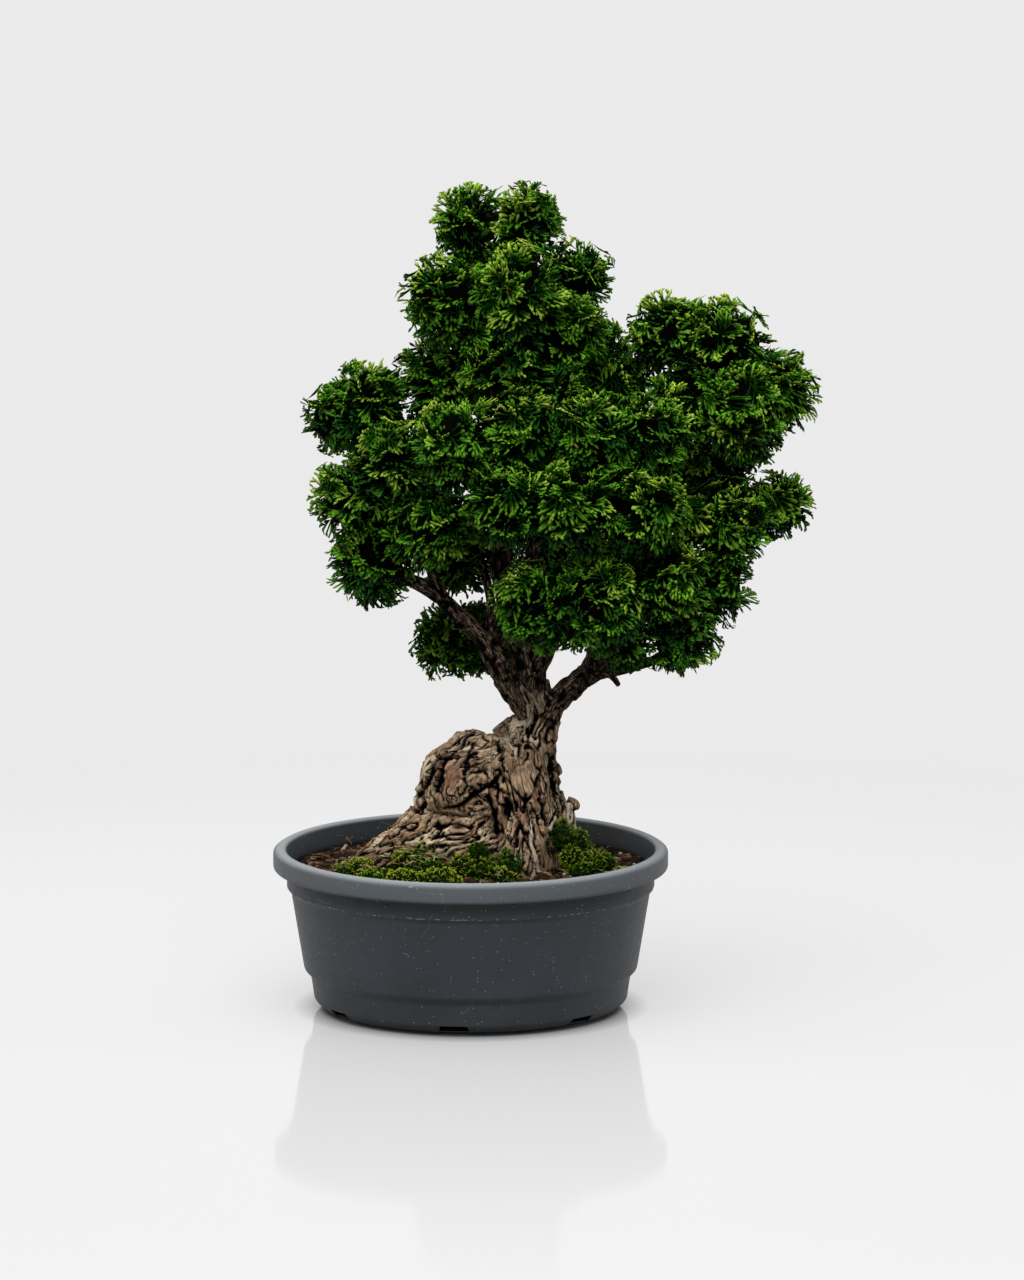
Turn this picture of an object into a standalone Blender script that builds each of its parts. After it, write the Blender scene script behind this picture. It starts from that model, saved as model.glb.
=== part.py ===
"""A hinoki cypress bonsai and the moulded pot that it grows in.

Metres, +Z up, the front faces -Y. The origin is the centre of the pot's flat underside.
"""

import math
import random

import bmesh
import bpy
from mathutils import Matrix, Vector
from mathutils.bvhtree import BVHTree

MM = 0.001  # the rows of sizes below are in millimetres, and this turns them to metres
FIT = 0.3  # gap between two pieces that touch
SEED = 20

# Pot: a round training pan, moulded in one piece
RIM_RADIUS = 130.0
RIM_BAND = 12.5  # height of the lip's outer face
POT_HEIGHT = 107.0
WALL = 2.5
FLOOR = 3.0
BASE_RADIUS = 90.0  # the flat disc that the pot stands on
SKIRT_LIFT = 2.5  # the skirt ends this far above the disc
SKIRT_RADIUS = 98.5
FOOT_RADIUS = 103.2  # the foot band, low and high
FOOT_TOP_RADIUS = 105.4
FOOT_TOP = 22.4
BODY_BOTTOM = 27.0
BODY_RADIUS = 109.8  # the body, low and high
BODY_TOP_RADIUS = 118.4
BODY_TOP = 79.0
SHOULDER_RADIUS = 121.0
POT_SIDES = 36

# Drain slots through the corner between the pot's floor and wall
SLOTS = 7
SLOT_WIDTH = 23.0
SLOT_TOP_WIDTH = 18.0
SLOT_HEIGHT = 7.5
SLOT_RADII = (96.0, 112.0)  # a slot's cutter reaches from inside the disc to outside the wall
SLOT_START = math.radians(-6)  # the slot next to the front, from -Y towards +X

# Soil: level at the wall, raised round the foot of the trunk
SOIL_EDGE = 91.0
SOIL_RISE = 9.0
SOIL_RISE_RADIUS = 62.0
SOIL_RISE_CENTRE = (12.0, 5.0)

# Trunk sections, bottom to top: centre X, Y, Z and radius
TRUNK = [
    (21, 4, 42, 28),
    (24, 4, 86, 46),
    (25, 4, 99, 45),
    (29, 5, 117, 38),
    (32, 6, 134, 32),
    (33, 7, 146, 27),
    (33, 8, 158, 26),
    (33, 8, 170, 24),
    (34, 8, 181, 21),
    (39, 8, 190, 18),
    (41, 8, 200, 16),
]
TRUNK_SIDES = 20
FLUTES = 6  # root flares that run up the trunk as ribs
FLUTE_DEPTH = 0.11  # share of the radius at the soil, fading out upwards

# Old wood that bulges from the trunk: centre, radii
BURL = ((-6, -8, 152), (27, 26, 29))
BURL_HOOK = ((-3, -13, 181), (11, 8, 7))
SHOULDER = ((14, -8, 148), (31, 25, 36))
SKIRT_MASS = ((-8, -2, 111), (46, 36, 30))
ROOT_LUMP = ((60, 5, 128), (11, 10, 14))

# Surface roots, thick end first: X, Y, Z, radius
ROOTS = [
    [(-5, -4, 122, 20), (-46, -5, 113, 12), (-62, -6, 102, 9), (-76, -7, 92, 7), (-88, -8, 80, 4)],
    [(55, 4, 122, 12), (72, 0, 105, 9), (84, -4, 90, 7), (90, -6, 78, 4)],
    [(36, -20, 118, 10), (40, -36, 102, 6.5), (41, -48, 88, 4)],
    [(28, 28, 116, 13), (22, 55, 99, 9), (12, 74, 84, 6)],
    [(-20, 22, 112, 12), (-42, 44, 97, 8), (-54, 58, 82, 5)],
]

# Limbs, thick end first: X, Y, Z, radius
LIMBS = [
    # the leader, up through the crown to the tip
    [(41, 8, 190, 15), (40, 8, 217, 11), (35, 10, 240, 10), (25, 12, 266, 8), (21, 12, 293, 7),
     (23, 12, 319, 6.5), (27, 12, 353, 6), (29, 10, 390, 5), (26, 8, 430, 4), (21, 6, 470, 3),
     (16, 4, 505, 2)],
    # the left branch and its upright fork
    [(36, 2, 196, 12), (25, -4, 218, 9), (17, -8, 233, 7.5), (8, -12, 248, 6.5), (-6, -14, 262, 5.6),
     (-18, -16, 274, 5), (-30, -18, 283, 4.5), (-46, -20, 291, 3.5), (-63, -18, 301, 2.5)],
    [(-16, -16, 272, 4), (-25, -16, 291, 3.2), (-33, -18, 311, 2.8), (-46, -16, 334, 2.4),
     (-56, -8, 360, 2.2), (-65, 2, 388, 1.8)],
    # the branch that climbs behind the left one
    [(19, -6, 231, 3.8), (14, 8, 250, 3.4), (13, 25, 267, 3), (8, 40, 285, 2.6), (-4, 52, 300, 2.2)],
    # the middle branch, forward and up
    [(44, 5, 220, 8), (56, 0, 245, 5.8), (63, -15, 274, 5), (67, -35, 304, 4.5), (68, -50, 333, 3.5),
     (65, -55, 361, 2.8), (59, -50, 387, 2.2)],
    # the right branch, its low end and its tall fork
    [(46, 5, 194, 13), (60, 2, 211, 10), (73, -2, 221, 8.5), (86, -6, 227, 7), (101, -14, 229, 4.2),
     (118, -24, 235, 3.2), (132, -34, 245, 2.4)],
    [(78, -2, 223, 7), (89, 4, 241, 6), (109, 8, 264, 5.5), (130, 12, 296, 5), (144, 12, 329, 4.5),
     (151, 10, 363, 4), (158, 6, 396, 3.2), (165, 4, 427, 2.4)],
    # branches that carry the front and the back of the crown
    [(82, -4, 225, 5), (80, -30, 245, 4), (78, -54, 268, 3), (76, -66, 284, 2.2)],
    [(27, 12, 262, 5), (38, 32, 290, 4), (52, 50, 318, 3.2), (68, 58, 340, 2.4)],
    [(92, 5, 243, 4.4), (100, 24, 256, 3.4), (105, 44, 272, 2.6)],
    [(24, 12, 320, 4.4), (4, 2, 352, 3.4), (-10, -22, 372, 2.4)],
    [(28, 11, 372, 4.2), (44, -6, 396, 3.2), (54, -22, 408, 2.4)],
    [(29, 10, 388, 4), (45, 26, 408, 3.2), (62, 24, 424, 2.4)],
    [(36, 10, 236, 4), (22, 34, 238, 3), (8, 50, 240, 2.2)],
    # two dead stubs
    [(4, -13, 253, 3), (-2, -20, 257, 2.4), (-11, -26, 259, 1.6)],
    [(84, -6, 228, 3.4), (92, -14, 224, 2.6), (97, -19, 218, 1.8)],
]
SLIM_LIMB = 9.0  # a limb that starts thinner than this is round enough with fewer sides
TWIG_RADII = (2.4, 1.3)  # of the twig that carries each head of foliage, at its limb and inside the head
TWIG_LIMB = 9.0  # a twig grows from a limb no thicker than this
TWIG_SIDES = 3
THREADED = 0.45  # a head that a limb passes this near the middle of needs no twig of its own

# Heads of foliage: X, Y, Z and radius out to the tips of the sprays
HEADS = {
    "apex": [
        (-4, 8, 515, 26), (35, -4, 520, 27), (65, 10, 485, 23), (-12, -10, 470, 28), (32, -30, 476, 33),
        (62, -12, 450, 30), (-18, 15, 413, 34), (23, -35, 431, 30), (75, 27, 429, 28), (13, 42, 464, 36),
        (46, 50, 423, 36), (100, 12, 416, 24),
    ],
    "left": [
        (-65, 15, 401, 27), (-87, 5, 387, 20), (-48, -30, 368, 27), (-80, -20, 342, 27),
        (-65, -15, 299, 31), (-25, -40, 328, 29), (-56, 35, 339, 34),
    ],
    "front": [
        (-9, -58, 383, 29), (32, -65, 394, 29), (52, -30, 411, 24), (80, -70, 390, 29),
        (118, -55, 387, 28), (23, -80, 348, 28), (67, -88, 345, 30), (111, -72, 342, 30),
    ],
    "right": [
        (130, 8, 446, 28), (167, -2, 445, 31), (202, 8, 407, 27), (175, -30, 400, 31),
        (188, 12, 371, 23), (141, -10, 403, 26), (167, 45, 407, 32),
    ],
    "outer": [(202, 5, 332, 25), (165, -25, 326, 31), (151, 40, 338, 32), (168, -10, 365, 25)],
    "low": [
        (46, -74, 281, 30), (85, -80, 286, 30), (126, -62, 295, 30), (158, -25, 286, 28),
        (137, -45, 252, 28), (95, -65, 254, 24),
    ],
    "under": [(-13, 50, 231, 28), (17, 65, 234, 24)],
    "back": [
        (32, 60, 348, 36), (78, 75, 345, 36), (121, 70, 346, 34), (59, 70, 293, 32), (105, 55, 282, 32),
        (-10, 58, 298, 32),
    ],
}
HEAD_GAP = 0.8  # between the foliage of two heads
CORE = 0.72  # radius of the dense inside of a head, as a share of the head's
CORE_LUMPS = 0.1
CORE_JOIN = 1.2  # towards a neighbour this near, the inside fills the whole gap to it
SPRAYS = 9  # fan-shaped sprays that stand out of each head
SPRAY_FINGERS = 3
SPRAY_ANGLE = math.radians(36)  # from a spray's middle line to its outer finger
SPRAY_THICKNESS = 1.6  # at the gaps between its fingers
SPRAY_TIP = 1.24  # reach of its fingers, as a share of the head's radius
SPRAY_NOTCH = 0.42  # where the gaps between fingers end, as a share of the spray's length
SPRAY_LEAN = (0.3, 0.9)  # how far sprays turn up from straight outwards
SPRAY_DROOP = 0.2
SPRAY_CUP = 0.25

# Moss: cushions bedded on the soil and against the foot of the tree; each lump's centre and radii
MOSS = {
    "moss_right": [((66, -20, 111), (13, 12, 17)), ((83, -20, 103), (11, 11, 13))],
    "moss_front": [((10, -42, 101), (22, 11, 9)), ((5, -38, 112), (8, 8, 8))],
    "moss_left": [((-32, -30, 105), (18, 12, 17))],
    "moss_far_left": [((-72, -22, 99), (11, 9, 8))],
    "moss_strip": [((-45, -74, 93), (42, 13, 10))],
}

COLOURS = {
    "pot": ((0.052, 0.062, 0.072), 0.55),
    "soil": ((0.035, 0.022, 0.014), 0.95),
    "wood": ((0.17, 0.11, 0.075), 0.9),
    "moss": ((0.16, 0.25, 0.03), 0.95),
    "foliage": ((0.11, 0.22, 0.02), 0.7),
}


# Objects, materials and Booleans


def clear_scene():
    for obj in list(bpy.data.objects):
        bpy.data.objects.remove(obj)


def make_collection(name):
    collection = bpy.data.collections.new(name)
    bpy.context.scene.collection.children.link(collection)
    return collection


def add_object(name, mesh, collection):
    obj = bpy.data.objects.new(name, mesh)
    collection.objects.link(obj)
    return obj


def object_from_bmesh(name, bm, collection):
    bmesh.ops.recalc_face_normals(bm, faces=bm.faces)
    if bm.calc_volume(signed=True) < 0:
        bmesh.ops.reverse_faces(bm, faces=bm.faces)
    mesh = bpy.data.meshes.new(name)
    bm.to_mesh(mesh)
    bm.free()
    return add_object(name, mesh, collection)


def paint(obj, finish):
    colour, roughness = COLOURS[finish]
    material = bpy.data.materials.new(obj.name)
    material.use_nodes = True
    shader = material.node_tree.nodes["Principled BSDF"]
    shader.inputs["Base Color"].default_value = (*colour, 1.0)
    shader.inputs["Roughness"].default_value = roughness
    obj.data.materials.clear()
    obj.data.materials.append(material)


def apply_modifiers(obj):
    bpy.context.view_layer.update()
    graph = bpy.context.evaluated_depsgraph_get()
    obj.data = bpy.data.meshes.new_from_object(obj.evaluated_get(graph))
    obj.modifiers.clear()


def discard(objects):
    for obj in list(objects):
        bpy.data.objects.remove(obj)


def combine(obj, others, operation, solver="EXACT"):
    """Joins the others to the object, or cuts them out of it, with one Boolean on a collection."""
    tools = make_collection("tools")
    for other in others:
        tools.objects.link(other)
    boolean = obj.modifiers.new("combine", "BOOLEAN")
    boolean.operation = operation
    boolean.solver = solver
    boolean.operand_type = "COLLECTION"
    boolean.collection = tools
    apply_modifiers(obj)
    bpy.data.collections.remove(tools)


def keep_largest_body(obj):
    """Drops the small scraps that a cut leaves."""
    bm = bmesh.new()
    bm.from_mesh(obj.data)
    bmesh.ops.remove_doubles(bm, verts=bm.verts, dist=0.5e-5)
    bmesh.ops.dissolve_degenerate(bm, edges=bm.edges, dist=1e-6)
    left = set(bm.faces)
    bodies = []
    while left:
        body = [left.pop()]
        for face in body:
            for edge in face.edges:
                for other in edge.link_faces:
                    if other in left:
                        left.remove(other)
                        body.append(other)
        bodies.append(body)
    bodies.sort(key=lambda body: sum(face.calc_area() for face in body))
    scraps = [face for body in bodies[:-1] for face in body]
    bmesh.ops.delete(bm, geom=scraps, context="FACES")
    bm.to_mesh(obj.data)
    bm.free()
    return len(bodies) - 1


def finish(obj, colour, smooth_below=None):
    if smooth_below is not None:
        obj.data.shade_smooth()
        obj.data.set_sharp_from_angle(angle=smooth_below)
    paint(obj, colour)


# Pot


def turned(name, profile, sides, collection):
    """Turns a profile of (radius, height) rows round the Z axis; it runs down the outer side."""
    mesh = bpy.data.meshes.new(name)
    points = [(radius * MM, 0.0, height * MM) for radius, height in profile]
    mesh.from_pydata(points, [(i, i + 1) for i in range(len(points) - 1)], [])
    obj = add_object(name, mesh, collection)
    screw = obj.modifiers.new("turn", "SCREW")
    screw.axis = "Z"
    screw.angle = 2 * math.pi
    screw.steps = sides
    screw.render_steps = sides
    screw.use_merge_vertices = True
    screw.merge_threshold = 0.00001
    apply_modifiers(obj)
    return obj


def pot_outside():
    shoulder = BODY_TOP + 2
    lip_under = POT_HEIGHT - RIM_BAND - 1.5
    return [
        (RIM_RADIUS - 4, POT_HEIGHT),
        (RIM_RADIUS, POT_HEIGHT - 2.5),
        (RIM_RADIUS, POT_HEIGHT - RIM_BAND),
        (RIM_RADIUS - 1.5, lip_under),
        (SHOULDER_RADIUS, lip_under),
        (SHOULDER_RADIUS, shoulder),
        (BODY_TOP_RADIUS, BODY_TOP),
        (BODY_RADIUS, BODY_BOTTOM),
        (FOOT_TOP_RADIUS, FOOT_TOP),
        (FOOT_RADIUS, SKIRT_LIFT + 4.5),
        (SKIRT_RADIUS, SKIRT_LIFT),
        (BASE_RADIUS, SKIRT_LIFT),
        (BASE_RADIUS, 0.0),
        (0.0, 0.0),
    ]


def pot_inside(clearance=0.0):
    """The inner wall, from the axis up; the soil follows it with a clearance."""
    inwards = WALL + clearance
    return [
        (0.0, FLOOR + clearance),
        (FOOT_RADIUS - inwards - 3, FLOOR + clearance),
        (FOOT_RADIUS - inwards, FLOOR + 3 + clearance),
        (FOOT_TOP_RADIUS - inwards, FOOT_TOP + 1),
        (BODY_RADIUS - inwards, BODY_BOTTOM + 2),
        (BODY_TOP_RADIUS - inwards, BODY_TOP + 1),
        (SHOULDER_RADIUS - inwards, BODY_TOP + 3.5),
    ]


def drain_slots(collection):
    """Seven wedges that cut the corner between the floor and the wall."""
    cutters = []
    inner, outer = SLOT_RADII
    for index in range(SLOTS):
        bm = bmesh.new()
        bmesh.ops.create_cube(bm, size=1.0)
        for vertex in bm.verts:
            top = vertex.co.z > 0
            across = math.copysign((SLOT_TOP_WIDTH if top else SLOT_WIDTH) / 2, vertex.co.x)
            away = inner if vertex.co.y > 0 else outer
            vertex.co = Vector((across, -away, SLOT_HEIGHT if top else -1)) * MM
        turn = SLOT_START + index * 2 * math.pi / SLOTS
        bmesh.ops.rotate(bm, verts=bm.verts, cent=(0, 0, 0), matrix=Matrix.Rotation(turn, 3, "Z"))
        cutters.append(object_from_bmesh(f"slot_cutter_{index}", bm, collection))
    return cutters


def build_pot(collection, cutters):
    rim_inside = [(SHOULDER_RADIUS - WALL, 93.0), (RIM_RADIUS - 8.3, POT_HEIGHT - 0.8)]
    pot = turned("pot", pot_inside() + rim_inside + pot_outside(), POT_SIDES, collection)
    slots = drain_slots(cutters)
    combine(pot, slots, "DIFFERENCE")
    discard(slots)
    finish(pot, "pot", math.radians(30))
    return pot


# Soil


def soil_height(x, y):
    """Top of the soil in mm: its edge height plus a rounded rise by the trunk."""
    away = math.hypot(x - SOIL_RISE_CENTRE[0], y - SOIL_RISE_CENTRE[1])
    grain = 0.8 * math.sin(x * 0.11 + 1.0) * math.sin(y * 0.13 + 2.0)
    return SOIL_EDGE + SOIL_RISE * math.exp(-((away / SOIL_RISE_RADIUS) ** 2)) + grain


def build_soil(name, collection, raised=0.0):
    side = pot_inside(FIT)
    edge = SHOULDER_RADIUS - WALL - FIT
    rings = [(edge * share, SOIL_EDGE) for share in (0.0, 0.22, 0.42, 0.6, 0.78, 0.92)]
    soil = turned(name, rings + [(edge, SOIL_EDGE)] + side[::-1], POT_SIDES // 2, collection)
    bm = bmesh.new()
    bm.from_mesh(soil.data)
    for vertex in bm.verts:
        if vertex.co.z / MM > SOIL_EDGE - 1:
            vertex.co.z = (soil_height(vertex.co.x / MM, vertex.co.y / MM) + raised) * MM
    bmesh.ops.triangulate(bm, faces=bm.faces, quad_method="FIXED")
    bm.to_mesh(soil.data)
    bm.free()
    return soil


# Wood


def tube(name, rows, collection, grow=0.0, round_sides=2):
    """A tapering round branch through rows of (x, y, z, radius), as a bevelled curve made a mesh."""
    curve = bpy.data.curves.new(name, "CURVE")
    curve.dimensions = "3D"
    curve.bevel_depth = MM
    curve.bevel_resolution = round_sides
    curve.use_fill_caps = True
    spline = curve.splines.new("POLY")
    spline.points.add(len(rows) - 1)
    for point, (x, y, z, radius) in zip(spline.points, rows):
        point.co = (x * MM, y * MM, z * MM, 1.0)
        point.radius = radius + grow
    guide = add_object(name, curve, collection)
    bpy.context.view_layer.update()
    graph = bpy.context.evaluated_depsgraph_get()
    mesh = bpy.data.meshes.new_from_object(guide.evaluated_get(graph))
    bpy.data.objects.remove(guide)
    bm = bmesh.new()
    bm.from_mesh(mesh)
    bmesh.ops.remove_doubles(bm, verts=bm.verts, dist=1e-6)
    return object_from_bmesh(name, bm, collection)


def lengthened(rows, extra):
    """The same branch, with its thin end a little further on."""
    tip = Vector(rows[-1][:3])
    step = (tip - Vector(rows[-2][:3])).normalized() * extra
    return rows[:-1] + [(*(tip + step), rows[-1][3])]


def lump(name, centre, radii, collection, grow=0.0, knots=0.09, detail=2):
    """A rounded mass of old wood: an icosphere with a few knots in its surface."""
    bm = bmesh.new()
    bmesh.ops.create_icosphere(bm, subdivisions=detail, radius=1.0)
    for vertex in bm.verts:
        x, y, z = vertex.co
        knot = 1 + knots * math.sin(5 * x + 1.3) * math.sin(4 * z + 0.7) + knots * math.sin(6 * y + 3 * z)
        vertex.co = Vector([c + u * (r * knot + grow) for c, u, r in zip(centre, (x, y, z), radii)]) * MM
    return object_from_bmesh(name, bm, collection)


def trunk(collection, grow=0.0):
    """A loft through the trunk's sections, fluted by the roots that flare at the soil."""
    low, high = TRUNK[1][2], TRUNK[-1][2]
    bm = bmesh.new()
    rings = []
    for x, y, z, radius in TRUNK:
        fade = 1 - min(max((z - low) / (high - low), 0.0), 1.0)
        ring = []
        for side in range(TRUNK_SIDES):
            turn = 2 * math.pi * side / TRUNK_SIDES
            ribs = math.cos(FLUTES * turn + z * 0.02) + 0.5 * math.cos(3 * turn + 1.2)
            reach = radius * (1 + FLUTE_DEPTH * fade * ribs) + grow
            point = Vector((x + reach * math.cos(turn), y + reach * math.sin(turn), z)) * MM
            ring.append(bm.verts.new(point))
        rings.append(ring)
    for vertex in rings[0]:
        vertex.co.z -= grow * MM
    for lower, upper in zip(rings, rings[1:]):
        for side in range(TRUNK_SIDES):
            after = (side + 1) % TRUNK_SIDES
            bm.faces.new((lower[side], lower[after], upper[after], upper[side]))
    bmesh.ops.triangulate(bm, faces=bm.faces, quad_method="FIXED")
    bm.faces.new(rings[0][::-1])
    bm.faces.new(rings[-1])
    return object_from_bmesh("trunk", bm, collection)


def all_heads():
    """(name, centre, radius) of every head."""
    return [
        (f"foliage_{group}_{index:02d}", Vector(row[:3]), float(row[3]))
        for group, rows in HEADS.items()
        for index, row in enumerate(rows, 1)
    ]


def twig(start, end, radii, collection, grow):
    """A straight tapering twig, as a cone turned from +Z to its own direction."""
    along = end - start
    bm = bmesh.new()
    thick, thin = [(radius + grow) * MM for radius in radii]
    length = (along.length + grow) * MM
    bmesh.ops.create_cone(bm, segments=TWIG_SIDES, radius1=thick, radius2=thin, depth=length, cap_ends=True)
    bmesh.ops.translate(bm, verts=bm.verts, vec=(0, 0, length / 2))
    turn = along.to_track_quat("Z", "Y").to_matrix()
    bmesh.ops.rotate(bm, verts=bm.verts, cent=(0, 0, 0), matrix=turn)
    bmesh.ops.translate(bm, verts=bm.verts, vec=start * MM)
    return object_from_bmesh("twig", bm, collection)


def build_twigs(collection, grow):
    """A twig for each head, from the best place on the limbs: near it, and lower than it."""
    places = []
    for rows in LIMBS[:-2]:
        for start, end in zip(rows, rows[1:]):
            for share in (0.0, 0.33, 0.67, 1.0):
                places.append([a + (b - a) * share for a, b in zip(start, end)])
    places = [place for place in places if place[3] <= TWIG_LIMB]
    twigs = []
    for _, centre, radius in all_heads():

        def cost(place):
            reach = centre - Vector(place[:3])
            return reach.length + max(0.0, 0.5 * reach.length - reach.z)

        if min((centre - Vector(place[:3])).length for place in places) < THREADED * radius:
            continue
        *start, thickness = min(places, key=cost)
        radii = (min(TWIG_RADII[0], thickness * 0.9), TWIG_RADII[1])
        twigs.append(twig(Vector(start), centre, radii, collection, grow))
    return twigs


def build_wood(name, collection, grow=0.0):
    """All the wood as one body: trunk, old masses, roots, limbs and twigs."""
    body = trunk(collection, grow)
    pieces = [
        lump("burl", *BURL, collection, grow, detail=3),
        lump("shoulder", *SHOULDER, collection, grow),
        lump("burl_hook", *BURL_HOOK, collection, grow, detail=1),
        lump("skirt_mass", *SKIRT_MASS, collection, grow),
        lump("root_lump", *ROOT_LUMP, collection, grow, detail=1),
    ]
    for rows in ROOTS + LIMBS:
        sides = 2 if rows[0][3] > SLIM_LIMB else 1
        pieces.append(tube("branch", lengthened(rows, grow), collection, grow, sides))
    pieces += build_twigs(collection, grow)
    combine(body, pieces, "UNION")
    discard(pieces)
    body.name = name
    dropped = keep_largest_body(body)
    print(f"{name}: {len(pieces) + 1} pieces fused, {dropped} scraps dropped")
    return body


# Foliage


def cell_planes(index, heads):
    """Planes (normal, distance from the head's centre) that part one head from its neighbours."""
    _, centre, radius = heads[index]
    planes = []
    for other, (_, there, there_radius) in enumerate(heads):
        apart = there - centre
        if other == index or apart.length > 2.6 * (radius + there_radius):
            continue
        middle = (apart.length_squared + radius**2 - there_radius**2) / (2 * apart.length)
        planes.append((apart.normalized(), middle - HEAD_GAP / 2))
    return planes


def room(direction, planes, limit):
    """How far the cell reaches from its centre along a direction, up to a limit."""
    reach = limit
    for normal, distance in planes:
        towards = normal.dot(direction)
        if towards > 1e-6:
            reach = min(reach, distance / towards)
    return reach


def head_core(planes, centre, radius, rng):
    """The dense inside of a head: a rounded cube of 24 lumpy panels that stops at its neighbours."""
    bm = bmesh.new()
    bmesh.ops.create_cube(bm, size=2.0)
    bmesh.ops.subdivide_edges(bm, edges=bm.edges, cuts=1, use_grid_fill=True)
    spin = Matrix.Rotation(rng.uniform(0, math.tau), 3, "Z")
    turn = spin @ Matrix.Rotation(rng.uniform(0.2, 0.8), 3, "X")
    for vertex in bm.verts:
        direction = turn @ vertex.co.normalized()
        reach = room(direction, planes, CORE_JOIN * radius)
        if reach == CORE_JOIN * radius:
            reach = CORE * radius * (1 + rng.uniform(-CORE_LUMPS, CORE_LUMPS))
        vertex.co = (centre + direction * reach) * MM
    return bm


def panel_corners(face, up):
    """A panel's corners as (upper right, upper left, lower left, lower right), seen from outside."""
    corners = list(face.verts)
    middle = face.calc_center_median()

    def height(index):
        edge = (corners[index].co + corners[(index + 1) % 4].co) / 2
        return (edge - middle).dot(up)

    first = max(range(4), key=height)
    return corners[first:] + corners[:first]


def spray_points(corners, size, lean, rng):
    """A spray's points in metres: fingers fanned out from a panel, arched and cupped like a shell.

    Finger tips are single points. The gaps between fingers have one point above and one below."""
    upper_right, upper_left, lower_left, lower_right = [corner.co for corner in corners]
    root = (upper_right + upper_left + lower_left + lower_right) / 4
    outwards = (upper_left - lower_right).cross(upper_right - lower_left).normalized() * -1
    along = (outwards + lean).normalized()
    across = (upper_right - upper_left).normalized()
    across = (across - along * across.dot(along)).normalized()
    normal = along.cross(across)
    length = size * MM
    step = 2 * SPRAY_ANGLE / (SPRAY_FINGERS - 1)

    def place(angle, reach):
        sideways, forwards = reach * math.sin(angle), reach * math.cos(angle)
        drop = (SPRAY_DROOP * forwards**2 + SPRAY_CUP * sideways**2) / length
        return root + across * sideways + along * forwards - normal * drop

    tips, gaps = [], []
    for finger in range(SPRAY_FINGERS):
        angle = -SPRAY_ANGLE + finger * step
        reach = length * (0.8 + 0.2 * math.cos(1.6 * angle)) * rng.uniform(0.9, 1.06)
        tips.append(place(angle, reach))
    for gap in range(SPRAY_FINGERS - 1):
        point = place(-SPRAY_ANGLE + (gap + 0.5) * step, SPRAY_NOTCH * length * rng.uniform(0.92, 1.08))
        half = normal * SPRAY_THICKNESS / 2 * MM
        gaps.append((point + half, point - half))
    return tips, gaps


def spray_triangles(corners, tips, above, below):
    """The same triangles on both faces of a spray, then two on the edge of each finger."""
    upper_right, upper_left, lower_left, lower_right = corners
    triangles = []
    for left, right, gaps in ((upper_left, upper_right, above), (lower_left, lower_right, below)):
        edge = [left, *gaps, right]
        for k, tip in enumerate(tips):
            triangles.append((edge[k], tip, edge[k + 1]))
        for k in range(1, len(edge) - 1):
            triangles.append((left, edge[k], edge[k + 1]))
    sides = [(upper_left, lower_left), *zip(above, below), (upper_right, lower_right)]
    for k, tip in enumerate(tips):
        triangles.append((sides[k][0], tip, sides[k][1]))
        triangles.append((sides[k + 1][0], tip, sides[k + 1][1]))
    return triangles


def clear_of(bm, face, triangles):
    """Whether new triangles cross nothing of the mesh, once drawn in a little from their root."""
    root = face.calc_center_median()
    tree = BVHTree.FromPolygons(
        [vertex.co.copy() for vertex in bm.verts],
        [[vertex.index for vertex in other.verts] for other in bm.faces if other is not face],
    )
    outer = sum((point for triangle in triangles for point in triangle), Vector()) / (3 * len(triangles))
    shift = (outer - root) * 0.08
    points = [point + shift for triangle in triangles for point in triangle]
    new = BVHTree.FromPolygons(points, [(k, k + 1, k + 2) for k in range(0, len(points), 3)])
    return not tree.overlap(new)


def grow_spray(bm, face, centre, radius, planes, rng):
    """Raises one spray from a panel of the core, if its cell and its neighbours leave it room."""
    corners = panel_corners(face, Vector((rng.uniform(-0.5, 0.5), rng.uniform(-0.5, 0.5), 1.0)))
    lean = Vector((rng.uniform(-0.3, 0.3), rng.uniform(-0.3, 0.3), rng.uniform(*SPRAY_LEAN)))
    away = (face.calc_center_median() / MM - centre).length
    for size in (1.0, 0.88, 0.76, 0.64):
        length = size * (SPRAY_TIP * radius - away)
        tips, gaps = spray_points(corners, length, lean, rng)
        offsets = [point / MM - centre for point in tips + [point for pair in gaps for point in pair]]
        if any(normal.dot(offset) > distance for offset in offsets for normal, distance in planes):
            continue
        above, below = [pair[0] for pair in gaps], [pair[1] for pair in gaps]
        places = spray_triangles([corner.co for corner in corners], tips, above, below)
        bm.verts.index_update()
        if not clear_of(bm, face, places):
            continue
        made = [[bm.verts.new(point) for point in points] for points in (tips, above, below)]
        bm.faces.remove(face)
        for triangle in spray_triangles(corners, *made):
            bm.faces.new(triangle)
        return True
    return False


def build_head(index, heads, wood_cutter, collection):
    """A head of foliage: sprays raised from the open side of its core, cut clear of the wood."""
    name, centre, radius = heads[index]
    rng = random.Random(SEED + index)
    planes = cell_planes(index, heads)
    bm = head_core(planes, centre, radius, rng)
    panels = {}
    for face in bm.faces:
        way = (face.calc_center_median() / MM - centre).normalized()
        panels[face] = room(way, planes, 1.3 * radius) + radius * rng.uniform(0, 0.3)
    sprays = 0
    for face in sorted(panels, key=panels.get, reverse=True):
        if sprays < SPRAYS:
            sprays += grow_spray(bm, face, centre, radius, planes, rng)
    bmesh.ops.triangulate(bm, faces=[face for face in bm.faces if len(face.verts) > 3])
    head = object_from_bmesh(name, bm, collection)
    combine(head, [wood_cutter], "DIFFERENCE", "MANIFOLD")
    keep_largest_body(head)
    finish(head, "foliage")
    return sprays


# Moss


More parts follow.
